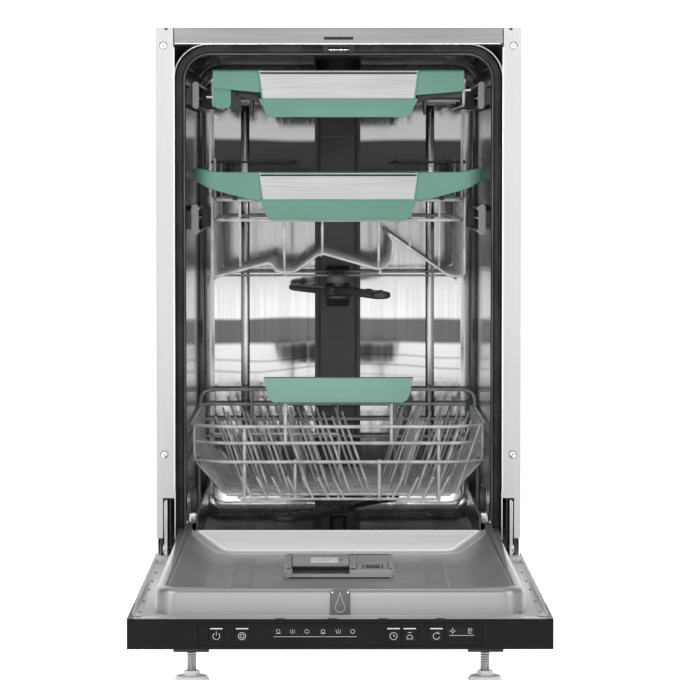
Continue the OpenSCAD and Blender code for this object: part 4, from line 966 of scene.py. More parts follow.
middle_grip().piece("middle_grip", "middle_basket", "handle_green", green.material, ["middle_handle"])
steel_plate("middle_plate_brushed", "middle_basket", middle_top - 34, middle_top - 5.2, ["middle_plate"])
grip_lip = Shape().block(-99, 99, grip_y + 0.5, mid_y0 - 3, middle_top - 1.2, middle_top + 0.3)
grip_lip.bevelled(0.4).piece("middle_grip_top", "middle_basket", "handle_green", shaded_handle_green)
grip_clips = Shape().block(122, 134, mid_y0 - 3.4, mid_y0 + 3, middle_top - 30, middle_top - 19)
grip_clips.block(125, 131, mid_y0 - 3.4, mid_y0 + 6, middle_top - 35, middle_top - 30)
grip_clips.bevelled(0.8).mirrored().piece("middle_grip_clips", "middle_basket", "black_plastic",
                                          black_plastic)

# ---- Height adjusters ---------------------------------------------------------------
# Grey plates on rollers: the basket climbs a toothed slot in them, in clicks.
carriage_grey = moulded("carriage_grey", paint(104), paint(88), roughness=0.48)
_, adjuster_y0, adjuster_z0, _, adjuster_y1, adjuster_z1 = edges_of("middle_carriages")


def adjusters():
    shape = Shape()
    for y in (adjuster_y0, adjuster_y1 - 60):
        shape.block(mid_x + 3, mid_x + 6.6, y, y + 60, adjuster_z0 + 1, adjuster_z1 - 1)
        for step in range(6):
            shape.block(mid_x + 2.2, mid_x + 3.4, y + 12, y + 48, adjuster_z0 + 8 + 10 * step,
                        adjuster_z0 + 12 + 10 * step)
        shape.block(mid_x + 6, rail_x - 3.4, y + 8, y + 52, adjuster_z0 + 6, adjuster_z0 + 30)
    return shape.bevelled(0.9).mirrored()


adjusters().piece("height_adjusters", "middle_carriage", "rail_grey", carriage_grey, ["middle_carriages"])
latch = Shape()
for y in (adjuster_y0 + 20, adjuster_y1 - 40):
    latch.block(mid_x + 0.6, mid_x + 2.4, y, y + 22, adjuster_z1 - 26, adjuster_z1 - 4)
latch.bevelled(0.7).mirrored().piece("adjuster_latches", "middle_basket", "black_plastic", black_plastic)

# ---- Cup shelves --------------------------------------------------------------------
# Fold-down moulded racks that hinge on the basket's side posts.
def cup_shelf(node, body, side):
    x0, y0, z0, x1, y1, z1 = edges_of(node)
    inner, outer = (x0, x1 - 1) if side > 0 else (x1, x0 + 1)
    z = (z0 + z1) / 2
    shape = Shape()
    for y in (y0 + 2, y1 - 6):
        shape.block(*sorted((inner, outer)), y, y + 4, z - 1.5, z + 1.5)
    for x in (inner, inner + side * 36, outer - side * 6):
        shape.block(*sorted((x, x + side * 4)), y0 + 3, y1 - 3, z - 1.4, z + 1.4)
    steps = 9
    for i in range(1, steps):
        y = y0 + 2 + i * (y1 - y0 - 8) / steps
        shape.block(*sorted((inner + side, outer)), y, y + 2.4, z - 1, z + 1)
    shape.bevelled(0.6)
    shape.turned([(2, -(y1 - y0) / 2 + 4), (2, (y1 - y0) / 2 - 4)], (outer - side * 1, (y0 + y1) / 2, z),
                 "y", 16)
    shape.piece(node + "_rack", body, "shelf_black", clip_black, [node])


cup_shelf("cup_shelf_left", "cup_shelf_left", -1)
cup_shelf("cup_shelf_right", "cup_shelf_right", 1)

# ---- Spray arms ---------------------------------------------------------------------
# Two hollow moulded arms, welded from halves, that turn on hubs. Their jets are short
# raised slots along the top.
arm_grey = moulded("arm_grey", paint(66), paint(50), roughness=0.4)
jet_black = moulded("jet_black", paint(26), paint(20), roughness=0.4)


def spray_arm(node, body, radius, width, turn, y):
    """An arm swept along a shallow S, its hub and its jets."""
    low, high = edges_of(node)[2], edges_of(node)[5]
    middle_z, half = (low + high) / 2 + (0 if high - low < 14 else 2), 5.2
    cos, sin = math.cos(math.radians(turn)), math.sin(math.radians(turn))

    def place(along, aside, z):
        bend = 5 * math.sin(math.pi * along / radius)
        return (along * cos - (aside + bend) * sin, y + along * sin + (aside + bend) * cos, z)
    shape, jets, rows = Shape(), Shape(), []
    steps = 36
    for i in range(steps + 1):
        along = -radius * math.cos(math.pi * i / steps)
        reach = max(0.0, abs(along) - (radius - width / 2)) / (width / 2)
        wide = width / 2 * math.sqrt(max(1 - reach ** 2,
                                         0.004)) * (1 - 0.16 * math.sin(math.pi * abs(along) / radius))
        tall = half * (0.5 + 0.5 * math.sqrt(max(1 - reach ** 2, 0.01)))
        rows.append([place(along, wide * math.copysign(abs(math.cos(a)) ** 0.7, math.cos(a)),
                           middle_z + tall * math.copysign(abs(math.sin(a)) ** 0.7, math.sin(a)))
                     for a in [math.radians(22.5 * k) for k in range(16)]])
    shape.rows(rows)
    shape.turned([(7, -half - 0.4), (width * 0.62, -half - 0.4), (width * 0.7, -half + 1),
                  (width * 0.7, half - 1),
                  (width * 0.62, half + 0.6), (10, half + 0.8), (7, half + 0.8)], (0, y, middle_z), "z", 40)
    for side in (-1, 1):
        for k in range(5):
            along = side * radius * (0.25 + 0.155 * k)
            jets.turned([(3.4, -0.8), (3.4, 0.5), (2.6, 0.9), (1.6, 0.9), (1.4, -0.3)],
                        place(along, 3 * (-1) ** k, middle_z + half), "z", 14)
    shape.piece(node + "_moulding", body, "spray_arm_grey", arm_grey, [node])
    jets.piece(node + "_jets", body, "spray_arm_grey", jet_black)


lower_arm = edges_of("lower_spray_arm")
lower_arm_y = (lower_arm[1] + lower_arm[4]) / 2
spray_arm("middle_spray_arm", "middle_arm", 171, 28, -71, shower_y)
spray_arm("lower_spray_arm", "lower_arm", 165, 30, -117, lower_arm_y)

# ---- Lower basket -------------------------------------------------------------------
# A deep basket of bent and welded wire in three loops, with rows of leaning tines for
# plates. Four wheels carry it along the tub's tracks and out onto the door.
low_y0, low_y1 = edges_of("lower_basket")[1] + 2.2, edges_of("lower_basket")[4] - 2.2
low_x = edges_of("lower_basket")[3] - 1.2
low_rim = edges_of("lower_handle")[5] - 62
low_floor = low_rim - 85
# A lighter and glossier copy of the coated wire, painted light, for the lower basket's loops and stays.
lit_coated_wire = dipped("coated_wire_painted_light", 172, 204, 70, (0.28, 0.42),
                     Specular_IOR_Level=0.6, Coat_Weight=0.35, Coat_Roughness=0.15)
loop_x = low_x - 1


def lower_loop(z):
    points = [(0, low_y0, z), (loop_x - 38, low_y0, z), (loop_x, low_y0 + 32, z), (loop_x, low_y1, z)]
    return (points + [(-x, y, z) for x, y, z in points[::-1][:-1]] + [points[0]], 4.4, 16)


def lower_hoop(y):
    side = loop_x - 3.6
    half = [(side, y, low_rim), (side, y, low_floor + 42), (side - 14, y, low_floor + 26),
            (153, y, low_floor + 12), (146, y, low_floor)]
    return (half + [(-x, y, z) for x, _, z in half[::-1]], 3.2, 9)


wires("lower_basket_loops", [lower_loop(z) for z in (low_rim, low_rim - 20.5, low_rim - 44)],
      "lower_basket",
      lit_coated_wire, ["lower_basket"])
wires("lower_basket_hoops", [lower_hoop(low_y0 + 28.4 + k * 21.07) for k in range(18)],
      "lower_basket", coated_wire)
stays = [([(x, low_y0 + 3.4, low_floor - 4), (x, low_y1 - 4, low_floor - 4)], 3.6, 4)
         for x in (-124, -62, 0, 62, 124)]
stays += [([(x, low_y0 + 3.6, low_rim + z0), (x, low_y0 + 3.6, z1)], thick, 4) for x, z0, z1, thick in (
    (-117, -1, low_floor - 8, 4.6), (125, -1, low_floor - 8, 4.6), (-54, -41, low_floor - 8, 4.2),
    (51, -41, low_floor - 8, 4.2), (-66, 40, low_rim - 22, 4.6), (66, 40, low_rim - 22, 4.6))]
stays += [([(-122, low_y0 + 1.5, low_floor - 5.4), (122, low_y0 + 1.5, low_floor - 5.4)], 3.6, 4),
          ([(-140, low_y0 + 7, low_floor), (140, low_y0 + 7, low_floor)], 3.6, 4),
          ([(-loop_x, low_y1 - 90, low_rim + 1), (-loop_x, low_y1 - 40, low_rim + 18),
            (-loop_x + 12, low_y1 - 3, low_rim + 20),
            (loop_x - 12, low_y1 - 3, low_rim + 20), (loop_x, low_y1 - 40, low_rim + 18),
            (loop_x, low_y1 - 90, low_rim + 1)], 4.2, 26),
          ([(-158, low_y0 + 78, low_rim - 15), (-134, low_y0 + 78, low_rim - 15),
            (-134, low_y0 + 78, low_rim - 26)], 3.4, 3),
          ([(-132, low_y0 + 78, low_rim - 15), (1, low_y0 + 78, low_rim - 15), (1, low_y0 + 78, low_floor)],
           3.4, 3)]
stays += [([(x, low_y1 - 4, low_rim + 20), (x, low_y1 - 4, low_floor - 4)], 3.6, 4)
          for x in (-117, -78, 0, 78, 125)]
wires("lower_basket_stays", stays, "lower_basket", lit_coated_wire)


def leaning(x, y, z, length, lean):
    """A tine from its weld up to its tip."""
    turn = math.radians(lean)
    return ([(x, y, z), (x + length * math.sin(turn), y, z + length * math.cos(turn))], 3.3, 1)


tines = [leaning(x, low_y0 + 2, low_floor - 7, 33, -27) for x in range(-106, 20, 19)]
tines += [leaning(x, low_y0 + 2, low_floor - 7, 33, 27) for x in range(66, 125, 19)]
for y, shift in ((low_y0 + 12, 0), (low_y0 + 70.5, 9), (low_y0 + 154.8, 18), (low_y0 + 239.1, 5),
                 (low_y0 + 323.4, 14)):
    tines += [leaning(x - shift, y, low_floor, 92, -19) for x in range(-110, 46, 25)
              if abs(x - shift + 42) > 5 or y < low_y0 + 20]
    tines += [leaning(x - shift, y, low_floor, 92, 19) for x in (72, 97, 122, 147)
              if abs(x - shift - 84) > 5]
wires("lower_basket_tines", tines, "lower_basket", coated_wire)
for node, body, x, lean in (("tine_row_left", "tines_left", -42, -15),
                            ("tine_row_right", "tines_right", 84, 15)):
    rod_z = low_floor + 6
    row = [([(x, low_y0 + 53, rod_z), (x, low_y1 - 53, rod_z)], 4.4, 2)]
    row += [leaning(x, low_y0 + 60 + k * (low_y1 - low_y0 - 120) / 7, rod_z, 82, lean) for k in range(8)]
    wires(node + "_wires", row, body, coated_wire, [node])
lower_grip = Shape().slab(grip_outline(93, 88.6, low_rim + 30, low_rim + 62, 13), low_y0 - 8, low_y0 - 4.4)
lower_grip.block(-93, 93, low_y0 - 8, low_y0 + 1, low_rim + 60.4, low_rim + 62)
for x in (-66, 66):
    lower_grip.block(x - 6, x + 6, low_y0 - 5, low_y0 + 6.4, low_rim + 34, low_rim + 44)
lower_grip.bevelled(0.7).piece("lower_grip", "lower_basket", "handle_green", lit_handle_green, ["lower_handle"])
for z0, z1 in ((low_rim + 61.3, low_rim + 62.2), (low_rim + 29.6, low_rim + 31)):
    edge_half = 92.4 if z0 > low_rim + 40 else 77
    edge = Shape().block(-edge_half, edge_half, low_y0 - 8.2, low_y0 - 5, z0, z1)
    edge.bevelled(0.3).piece("lower_grip_edge_%d" % z0, "lower_basket", "handle_green", shaded_handle_green)
rear_clip = Shape().block(loop_x - 9, loop_x - 2.2, low_y1 - 26, low_y1 - 6, low_rim - 58, low_rim + 7)
rear_clip.block(loop_x - 11, loop_x - 7, low_y1 - 22, low_y1 - 10, low_rim - 44, low_rim - 12)
rear_clip.bevelled(0.8).piece("lower_basket_clip", "lower_basket", "handle_green", shaded_handle_green)

# ---- Basket wheels ------------------------------------------------------------------
# Spoked nylon wheels on stub axles, in brackets pushed onto the basket's loops.
wheel_grey = moulded("wheel_grey", paint(84), paint(70), roughness=0.46)
for node in ("wheels_front", "wheels_rear"):
    x0, y0, z0, x1, y1, z1 = edges_of(node)
    wheel_y, wheel_z, wheel_r = (y0 + y1) / 2, (z0 + z1) / 2, (z1 - z0) / 2
    wheels = Shape()
    for side in (-1, 1):
        centre = (side * (x1 - 4), wheel_y, wheel_z)
        wheels.turned([(wheel_r - 3, -4), (wheel_r - 0.6, -4), (wheel_r, -3), (wheel_r, 3),
                       (wheel_r - 0.6, 4), (wheel_r - 3, 4),
                       (wheel_r - 3.4, 1.4), (5.4, 1.4), (5, 4), (2.9, 4), (2.9, -4), (5, -4), (5.4, -1.4),
                       (wheel_r - 3.4, -1.4)],
                      centre, "x", 40)
        for k in range(6):
            angle = math.pi * k / 3
            y, z = wheel_y + 9 * math.cos(angle), wheel_z + 9 * math.sin(angle)
            wheels.turned([(2, -3), (2, 3)], (side * (x1 - 4), y, z), "x", 10)
    wheels.piece(node + "_nylon", node, "grey_plastic", wheel_grey, [node])
    carriers = Shape()
    carriers.block(x1 - 12.4, x1 - 9, wheel_y - 9, wheel_y + 9, wheel_z - 8, low_rim - 47)
    carriers.block(x1 - 12, loop_x - 2.4, wheel_y - 9, wheel_y + 9, low_rim - 50, low_rim - 42)
    carriers.bevelled(0.8)
    carriers.turned([(2.6, -9), (2.6, 4.6), (3.6, 4.6), (3.4, 5.2), (1.5, 5.4)], (x1 - 5, wheel_y, wheel_z),
                    "x", 18)
    carriers.mirrored().piece(node + "_brackets", "lower_basket", "grey_plastic", carriage_grey)
track_nose = Shape().block(tub_x - 14, tub_x - 2.5, mouth_back - 1, mouth_back + 6, tub_floor + 37,
                           tub_floor + 51)
track_nose.bevelled(2.4, steps=3).mirrored()
track_nose.piece("track_noses", "cabinet", "stainless", bright_steel)

# ---- Door hinges and springs --------------------------------------------------------
# Pressed steel arms under the door turn on pins in black brackets. A coil spring on each
# side takes the door's weight.
zinc = sheet_steel("zinc_plated", 190, 166, (60, 60, 60), roughness=0.34)
black_coat = moulded("black_coat", paint(40), paint(28), roughness=0.42, grain=0.08)
dress(zinc, "hinge_arms", "balance_springs")
dress(black_coat, "hinge_brackets")
hinge_y, hinge_z = front + 4, edges_of("hinge_arms")[5] - 60
arm_edge = Shape()
rows = []
for k in range(11):
    turn = math.radians(9 * k)
    y, z = hinge_y + 6 - 3 * math.cos(turn), hinge_z + 58 - 70 * k / 10
    rows.append([(213.9, y - 2.4, z), (213.9, y + 2.4, z), (214.8, y + 2.4, z), (214.8, y - 2.4, z)])
arm_edge.rows(rows).mirrored()
arm_edge.piece("hinge_arm_edges", "door", "zinc_steel", bright_steel)
pin_heads = Shape().turned([(6.5, -1.2), (6.5, 0.2), (5.2, 1.1), (2, 1.3)], (215, hinge_y, hinge_z), "x",
                           24)
pin_heads.mirrored().piece("hinge_pin_heads", "cabinet", "zinc_steel", screw_steel)

# ---- Door panel ---------------------------------------------------------------------
# The plain outer sheet that the kitchen's own front is screwed to. It is folded up at
# its sides, stiffened by pressed beads, and has plugged fixing holes.
door_sheet = sheet_steel("door_sheet", 172, 160, (5, 5, 5), roughness=0.5, metallic=0.6)
dress(door_sheet, "door_panel")
door_end = edges_of("control_panel")[1]
outer_z = edges_of("door_panel")[2]
flange_z = edges_of("door_liner")[2] + 1.2
beads = Shape()
for x in (-120, 0, 120):
    beads.block(x - 5, x + 5, door_end + 90, -60, outer_z + 0.6, outer_z + 3.4)
beads.bevelled(1.6, steps=3)
beads.piece("door_panel_beads", "door", "door_sheet", door_sheet)

# ---- Door liner ---------------------------------------------------------------------
# The door's wet side: one pressing in satin stainless steel. A soft raised rim seals
# against the rubber, round a shallow basin with two pressed ridges.
rim_z = edges_of("door_liner")[5]
basin_z = flange_z + 1.5
liner_steel = Finish("door_liner_steel", Metallic=0.82, IOR=2.1)
press_lines = liner_steel.noise(3, 420, 420, detail=3)
press_clouds = liner_steel.noise(6, 6, 6, detail=2)
liner_shade = liner_steel.levels(press_lines * 0.4 + press_clouds * 0.6, 0.36, 0.64)
liner_base = liner_steel.blend(liner_shade, paint(164), paint(182))
# Painted light and shade: the pressing's colour is lightened towards its hinge end and painted darker
# towards its free end by the control panel.
liner_depth = liner_steel.part_of_place("Y")
liner_base = liner_steel.blend(liner_steel.levels(liner_depth, 0.018, 0.03), liner_base, paint(236))
liner_base = liner_steel.blend(liner_steel.levels(liner_depth, -0.536, -0.543), liner_base, paint(158))
liner_steel.give("Base Color", liner_base)
liner_steel.give("Roughness", liner_steel.levels(press_lines, 0.3, 0.7, 0.36, 0.47))
liner_steel.relief(press_lines * 0.05 + press_clouds * 0.6, 0.4, 0.4)


def plan(x, y0, y1, radius, z, steps=8):
    """A rounded rectangle that lies flat."""
    return [(u, v, z) for u, v in rounded_rectangle(x, y0, y1, radius, steps)]


rim_front, rim_rear = door_end + 33, front - 2
liner = Shape()
levels = [(198, 0, 0, 26, flange_z + 0.1), (197.6, 0.3, 0.3, 26, flange_z + 3),
          (196.6, 1.4, 0.6, 25, rim_z - 6),
          (195.6, 2.4, 1.2, 24, rim_z - 2.6), (193.4, 4.6, 2.2, 22, rim_z - 0.6),
          (190.5, 7.5, 2.8, 20, rim_z),
          (184, 14, 3.6, 16, rim_z), (181.4, 16.6, 4.2, 14, rim_z - 0.7), (179.6, 18.4, 5, 14, rim_z - 2.4),
          (155, 34.6, 15, 20, basin_z + 4), (151.6, 37.4, 17, 20, basin_z + 1.4),
          (146, 42, 21, 20, basin_z + 0.2),
          (138, 50, 29, 16, basin_z)]
liner.rows([plan(x, rim_front + ahead, rim_rear - behind, radius, z) for x, ahead, behind, radius,
            z in levels])
for side in (-1, 1):
    ridge = []
    for y, size in ((rim_front + 92, 0.05), (rim_front + 104, 0.8), (rim_front + 120, 1),
                    (rim_rear - 74, 1),
                    (rim_rear - 58, 0.8), (rim_rear - 46, 0.05)):
        ridge.append([(side * 112 + 13 * math.cos(a), y, basin_z - 0.3 + 2.6 * size * math.sin(a))
                      for a in [math.radians(15 * k) for k in range(13)]])
    liner.rows(ridge)
liner.piece("door_liner_pressing", "door", "door_liner_steel", liner_steel.material, ["door_liner"])
edge_x = half_width - 1.2
flange_edge = [(-edge_x, 26), (-edge_x, door_end + 20.4), (3.6 - half_width, door_end + 20.4),
               (3.6 - half_width, door_end + 3.6),
               (half_width - 3.6, door_end + 3.6), (half_width - 3.6, door_end + 20.4),
               (edge_x, door_end + 20.4), (edge_x, 26),
               (198, 26), (198, rim_rear - 0.4), (-198, rim_rear - 0.4), (-198, 26)]


def circle(x, y, radius, steps=24):
    return [(x + radius * math.cos(2 * math.pi * i / steps), y + radius * math.sin(2 * math.pi * i / steps))
            for i in range(steps)]


def pierced_sheet(outline, holes, z):
    """A flat sheet with holes right through it."""
    shape = Shape()
    edges = []
    for loop in [outline] + holes:
        made = [shape.mesh.verts.new(Vector((x, y, z)) * mm) for x, y in loop]
        edges += [shape.mesh.edges.new(pair) for pair in zip(made, made[1:] + made[:1])]
    bmesh.ops.triangle_fill(shape.mesh, use_beauty=True, use_dissolve=False, edges=edges, normal=(0, 0, 1))
    return shape


screw_holes = [circle(x, hinge_y + hinge_z - z, 6.2) for x, z in screw_places]
pierced_sheet(flange_edge, screw_holes, flange_z).piece(
    "door_liner_flange", "door", "door_liner_steel", satin_flange, thickness=-1.2, facing=False)
slots = Shape()
for side in (-1, 1):
    for y in (door_end + 60, door_end + 150, door_end + 255, door_end + 335, door_end + 420):
        slots.slab([(side * 214 + u, y + v) for u, v in capsule(-1.6, 1.6, -7, 7)], flange_z - 0.3,
                   flange_z + 0.12, "z")
for x in (-63, -8, 45, 105):
    slots.block(x - 5, x + 5, door_end + 3.5, door_end + 6.2, flange_z - 0.2, flange_z + 0.15)
slots.piece("door_flange_slots", "door", "black_plastic", clip_black)

# ---- Wheel guides -------------------------------------------------------------------
# Grey moulded fins clipped along the door's rim. The basket's wheels roll onto them.
guide_grey = moulded("guide_grey", paint(88), paint(74), roughness=0.5)
guide = Shape()
rows = []
for y, inner, outer, fin, rise in ((rim_rear - 0.4, 179.6, 196.6, 187.2, 9.4),
                                   (rim_rear - 30, 179.8, 196.4, 187, 9.4),
                                   (rim_rear - 60, 180.2, 196, 186.8, 9),
                                   (rim_rear - 180, 181.8, 193, 186.4, 6),
                                   (rim_rear - 300, 183, 189.6, 186, 3),
                                   (rim_rear - 398, 183.6, 187, 185.6, 0.8)):
    rows.append([(inner, y, rim_z + 0.05), (inner, y, rim_z + rise), (inner + 1.1, y, rim_z + rise + 0.1),
                 (fin, y, rim_z + rise * 0.9), (fin + 0.4, y, rim_z + min(rise, 1.6)),
                 (outer, y, rim_z + min(rise, 1.2)),
                 (outer, y, rim_z + 0.05)])
guide.rows(rows)
guide.block(184.4, 186, rim_front + 36, rim_rear - 396, rim_z + 0.05, rim_z + 0.6)
guide.mirrored().piece("wheel_guides_moulding", "door", "grey_plastic", guide_grey, ["wheel_guides"])

# ---- Control panel ------------------------------------------------------------------
# A satin black moulding across the door's top edge with square push keys, a printed frame
# and windows for the programme lights. Its end caps taper back along the door.
fascia_black = moulded("fascia_black", paint(24), paint(19), roughness=0.4, grain=0.03, shine=0.14)
print_grey = moulded("print_grey", paint(206), paint(190), roughness=0.5)
frame_grey = moulded("print_frame_grey", paint(14), paint(10), roughness=0.45, shine=0.1)
key_black = moulded("key_black", paint(28), paint(22), roughness=0.34, shine=0.14)
key_z = (edges_of("power_button")[2] + edges_of("power_button")[5]) / 2
face = Shape()
face_y0, face_y1 = door_end + 0.35, door_end + 3
face.block(-half_width, half_width, face_y0, face_y1, key_z + 8.2, flange_z - 0.2)
face.block(-half_width, half_width, face_y0, face_y1, outer_z, key_z - 8.2)
for x0, x1 in ((-half_width, -138.2), (-121.8, -111.2), (-94.8, 47.8), (64.2, 64.8), (81.2, 92.8),
               (109.2, half_width)):
    face.block(x0, x1, face_y0, face_y1, key_z - 8.25, key_z + 8.25)
for side in (-1, 1):
    face.block(*sorted((side * (half_width - 3), side * half_width)), door_end + 2.9, door_end + 20,
               outer_z, flange_z - 0.2)
face.piece("fascia_face", "door", "fascia_black", fascia_black, ["control_panel"])
dress(moulded("lamp_window", paint(26), paint(21), roughness=0.3, shine=0.16), "indicator_lights")
dress(moulded("solder_mask", paint(30, 96, 58), paint(22, 80, 46), roughness=0.4), "control_board")
caps = Shape()
caps.slab([(half_width - 7, door_end + 0.4), (half_width, door_end + 0.4), (half_width, door_end + 128),
           (half_width - 1.0, door_end + 128), (half_width - 2, door_end + 60)], flange_z - 1,
          flange_z + 0.35, "z")
caps.mirrored().piece("fascia_end_caps", "door", "fascia_black", fascia_black)


def strokes(name, lines, body, thickness=0.55):
    """Printed lines on the control panel's face. Each line is points across and up."""
    paths = [([(x, door_end + 0.29, z) for x, z in line], thickness, 0.4) for line in lines]
    return wires(name, paths, body, print_grey)


def ring(x, z, radius, start=0, end=360, steps=18):
    return bow(radius, start, end, steps, x, z)


border = [([(x, door_end + 0.36, z) for x, z in ((-148.9, 142.7), (148.9, 142.7), (148.9, 166.7),
                                                 (-148.9, 166.7), (-148.9, 142.7))],
           0.7, 2)]
wires("fascia_frame_line", border, "door", frame_grey)
keys = {
    "power_button": (-130, [ring(-130, key_z - 1.5, 3.6, 125, 415),
                            [(-130, key_z + 3.4), (-130, key_z - 0.8)]]),
    "program_button": (-103, [ring(-103, key_z - 1.5, 3.8), ring(-103, key_z - 1.5, 2.0)]),
    "delay_button": (56, [ring(56, key_z - 1.5, 3.8), [(56, key_z + 0.8), (56, key_z - 1.5),
                                                       (57.8, key_z - 2.4)]]),
    "half_load_button": (73, [[(69.6, key_z - 4.4), (76.4, key_z - 4.4)],
                              ring(73, key_z - 3.6, 3.2, 0, 180, 10),
                              [(71, key_z + 2.2), (75, key_z + 2.2)]]),
    "start_button": (101, [ring(101, key_z - 1.5, 3.4, 60, 350),
                           [(102.4, key_z + 3.4), (102.4, key_z + 1.0), (104.6, key_z + 1.4)]]),
}
for node, (x, icon) in keys.items():
    key = Shape().block(x - 7.9, x + 7.9, door_end + 0.3, door_end + 4.4, key_z - 7.9, key_z + 7.9)
    key.bevelled(0.5, steps=3).piece(node + "_key", node, "fascia_black", key_black, [node])
    bar = Shape().block(x - 6.6, x + 6.6, door_end + 0.12, door_end + 0.4, key_z + 5.8, key_z + 7)
    bar.piece(node + "_bar", node, "fascia_black", print_grey)
    strokes(node + "_icon", icon, node)
lights = []
for k, x in enumerate((-65, -50, -35, -18, -2, 13)):
    z = key_z + 3.6
    if k % 3 == 0:
        lights += [ring(x, z, 1.9, steps=12), [(x - 2.6, z - 2.2), (x + 2.6, z - 2.2)]]
    elif k % 3 == 1:
        lights += [[(x - 2.4, z + 1.6), (x - 1.6, z - 2), (x + 1.6, z - 2), (x + 2.4, z + 1.6)],
                   [(x, z + 2.4), (x, z - 0.4)]]
    else:
        lights += [ring(x, z - 0.4, 2.2, 0, 180, 8), [(x - 2.4, z - 0.6), (x, z - 2.6), (x + 2.4, z - 0.6)]]
lights += [[(-70, 152.4), (17.6, 152.4)], [(114.6, 153.6), (140.7, 153.6)], ring(118, 158.4, 1.6, steps=10)]
lights += [[(118, 160.6), (118, 161.6)], [(118, 156.2), (118, 155.2)], [(120.2, 158.4), (121.2, 158.4)],
           [(115.8, 158.4), (114.8, 158.4)]]
lights += [[(134.6, 161), (134.6, 156), (138.6, 156)], ring(137, 159.6, 1.4, steps=10)]
strokes("fascia_light_icons", lights, "door", 0.45)

# ---- Dispenser ----------------------------------------------------------------------
# A moulded box let into the basin: a detergent chamber under a sliding lid, and a rinse
# aid tank under a latched flap.
disp_left, disp_front, disp_low, disp_right, disp_rear, disp_top = edges_of("dispenser_body")
dispenser_grey = moulded("dispenser_grey", paint(164), paint(150), roughness=0.42)
# Dark grey for two uses: the lid's printed marks, and painted shade in the rinse-aid latch's slits.
dispenser_print_and_painted_shade = moulded("dispenser_print_and_painted_shade", paint(74), paint(62), roughness=0.45)
# A lighter copy of the dispenser grey, painted light: it colours the lid, whose top catches the light, and
# the lock's raised rim as a painted highlight.
painted_light_grey = moulded("painted_light_grey", paint(172), paint(158), roughness=0.36)
label_white = moulded("label_white", paint(255), paint(250), roughness=0.5)
case = Shape()
case.rows([plan(disp_right, disp_front, disp_rear, 8, z, 5) for z in (disp_low + 0.1, disp_top - 7)])
for x0, x1, y0, y1, drop in ((-63.8, -55.4, disp_front + 3, disp_rear - 3, 0),
                             (12, 20, disp_front + 0.5, disp_rear - 0.5, 0),
                             (57.2, 63.8, disp_front + 3, disp_rear - 3, 0),
                             (-61, 61, disp_rear - 12, disp_rear - 0.4, 0),
                             (-61, -54, disp_front + 0.4, disp_front + 13.6, 0),
                             (12, 61, disp_front + 0.4, disp_front + 13.6, 0),
                             (-56, 13, disp_front + 0.4, disp_front + 5, 5.2),
                             (-55.6, 12.2, disp_front + 61, disp_rear - 8, 3.8),
                             (19, 58, disp_front + 88, disp_rear - 4, 0),
                             (19, 58, disp_front + 4, disp_front + 89, 3.8)):
    case.block(x0, x1, y0, y1, disp_top - 7.2, disp_top - drop)
case.bevelled(0.6)
case.piece("dispenser_case", "door", "dispenser_grey", dispenser_grey, ["dispenser_body"])
# Painted shade: black sheets on the floors of the two chambers, across the gap under the lid's front edge
# and along the case's foot.
painted_shade_sheets = Shape().block(-55.2, 11.8, disp_front + 5.2, disp_front + 60.8, disp_top - 7.05, disp_top - 6.7)
painted_shade_sheets.block(-55.2, 11.8, disp_front + 60.2, disp_front + 60.9, disp_top - 7, disp_top - 3.9)
painted_shade_sheets.block(20.2, 57, disp_front + 13.8, disp_front + 87.8, disp_top - 3.85, disp_top - 3.6)
painted_shade_sheets.block(disp_left + 6, disp_right - 6, disp_front - 0.12, disp_front + 0.6, disp_low + 0.1,
            disp_low + 1.5)
painted_shade_sheets.piece("dispenser_painted_shade", "door", "black_plastic", clip_black)
lid = Shape().block(-54.3, 11.3, disp_front + 62, disp_rear - 12.7, disp_top - 3.3, disp_top - 0.7)
lid.block(-54.3, 11.3, disp_front + 60.6, disp_front + 62.2, disp_top - 3.4, disp_top - 0.3)
lid.bevelled(0.5).piece("dispenser_lid", "detergent_lid", "dispenser_grey", painted_light_grey, ["detergent_lid"])
label = Shape().block(-33, -1, disp_front + 78, disp_front + 126, disp_top - 0.8, disp_top - 0.1)
label.piece("dispenser_label", "detergent_lid", "dispenser_grey", label_white)
dots = Shape().turned([(2.6, -0.4), (2.6, 0.3), (2, 0.5)], (2.5, disp_front + 104, disp_top - 0.7), "z", 20)
for k in range(4):
    dots.block(-29, -12 + 2 * k, disp_front + 86 + 9 * k, disp_front + 87 + 9 * k, disp_top - 0.5,
               disp_top - 0.05)
dots.piece("dispenser_lid_marks", "detergent_lid", "dispenser_grey", dispenser_print_and_painted_shade)
flap = Shape().block(20.8, 56.2, disp_front + 20, disp_front + 81, disp_top - 3.2, disp_top - 0.5)
flap.block(26, 51, disp_front + 62, disp_front + 82.5, disp_top - 0.6, disp_top + 0.4)
flap.bevelled(0.5)
flap.turned([(1.3, -17.5), (1.3, 17.5)], (38.5, disp_front + 84, disp_top - 1.9), "x", 16)
flap.piece("rinse_aid_flap", "rinse_aid_cap", "dispenser_grey", dispenser_grey, ["rinse_aid_cap"])
# Painted shade: dark bars and a dark panel where the latch's slits and recess lie in shade, and a dark line
# along its front.
latch_painted_shade = Shape()
for x in (27.8, 50.2):
    latch_painted_shade.block(x - 1, x + 1, disp_front + 22, disp_front + 58, disp_top - 0.7, disp_top - 0.4)
latch_painted_shade.block(30.5, 47.5, disp_front + 21, disp_front + 52, disp_top - 0.65, disp_top - 0.42)
latch_painted_shade.block(24, 53, disp_front + 19.6, disp_front + 21, disp_top - 3, disp_top - 0.42)
latch_painted_shade.piece("rinse_aid_latch", "rinse_aid_cap", "dispenser_grey", dispenser_print_and_painted_shade)

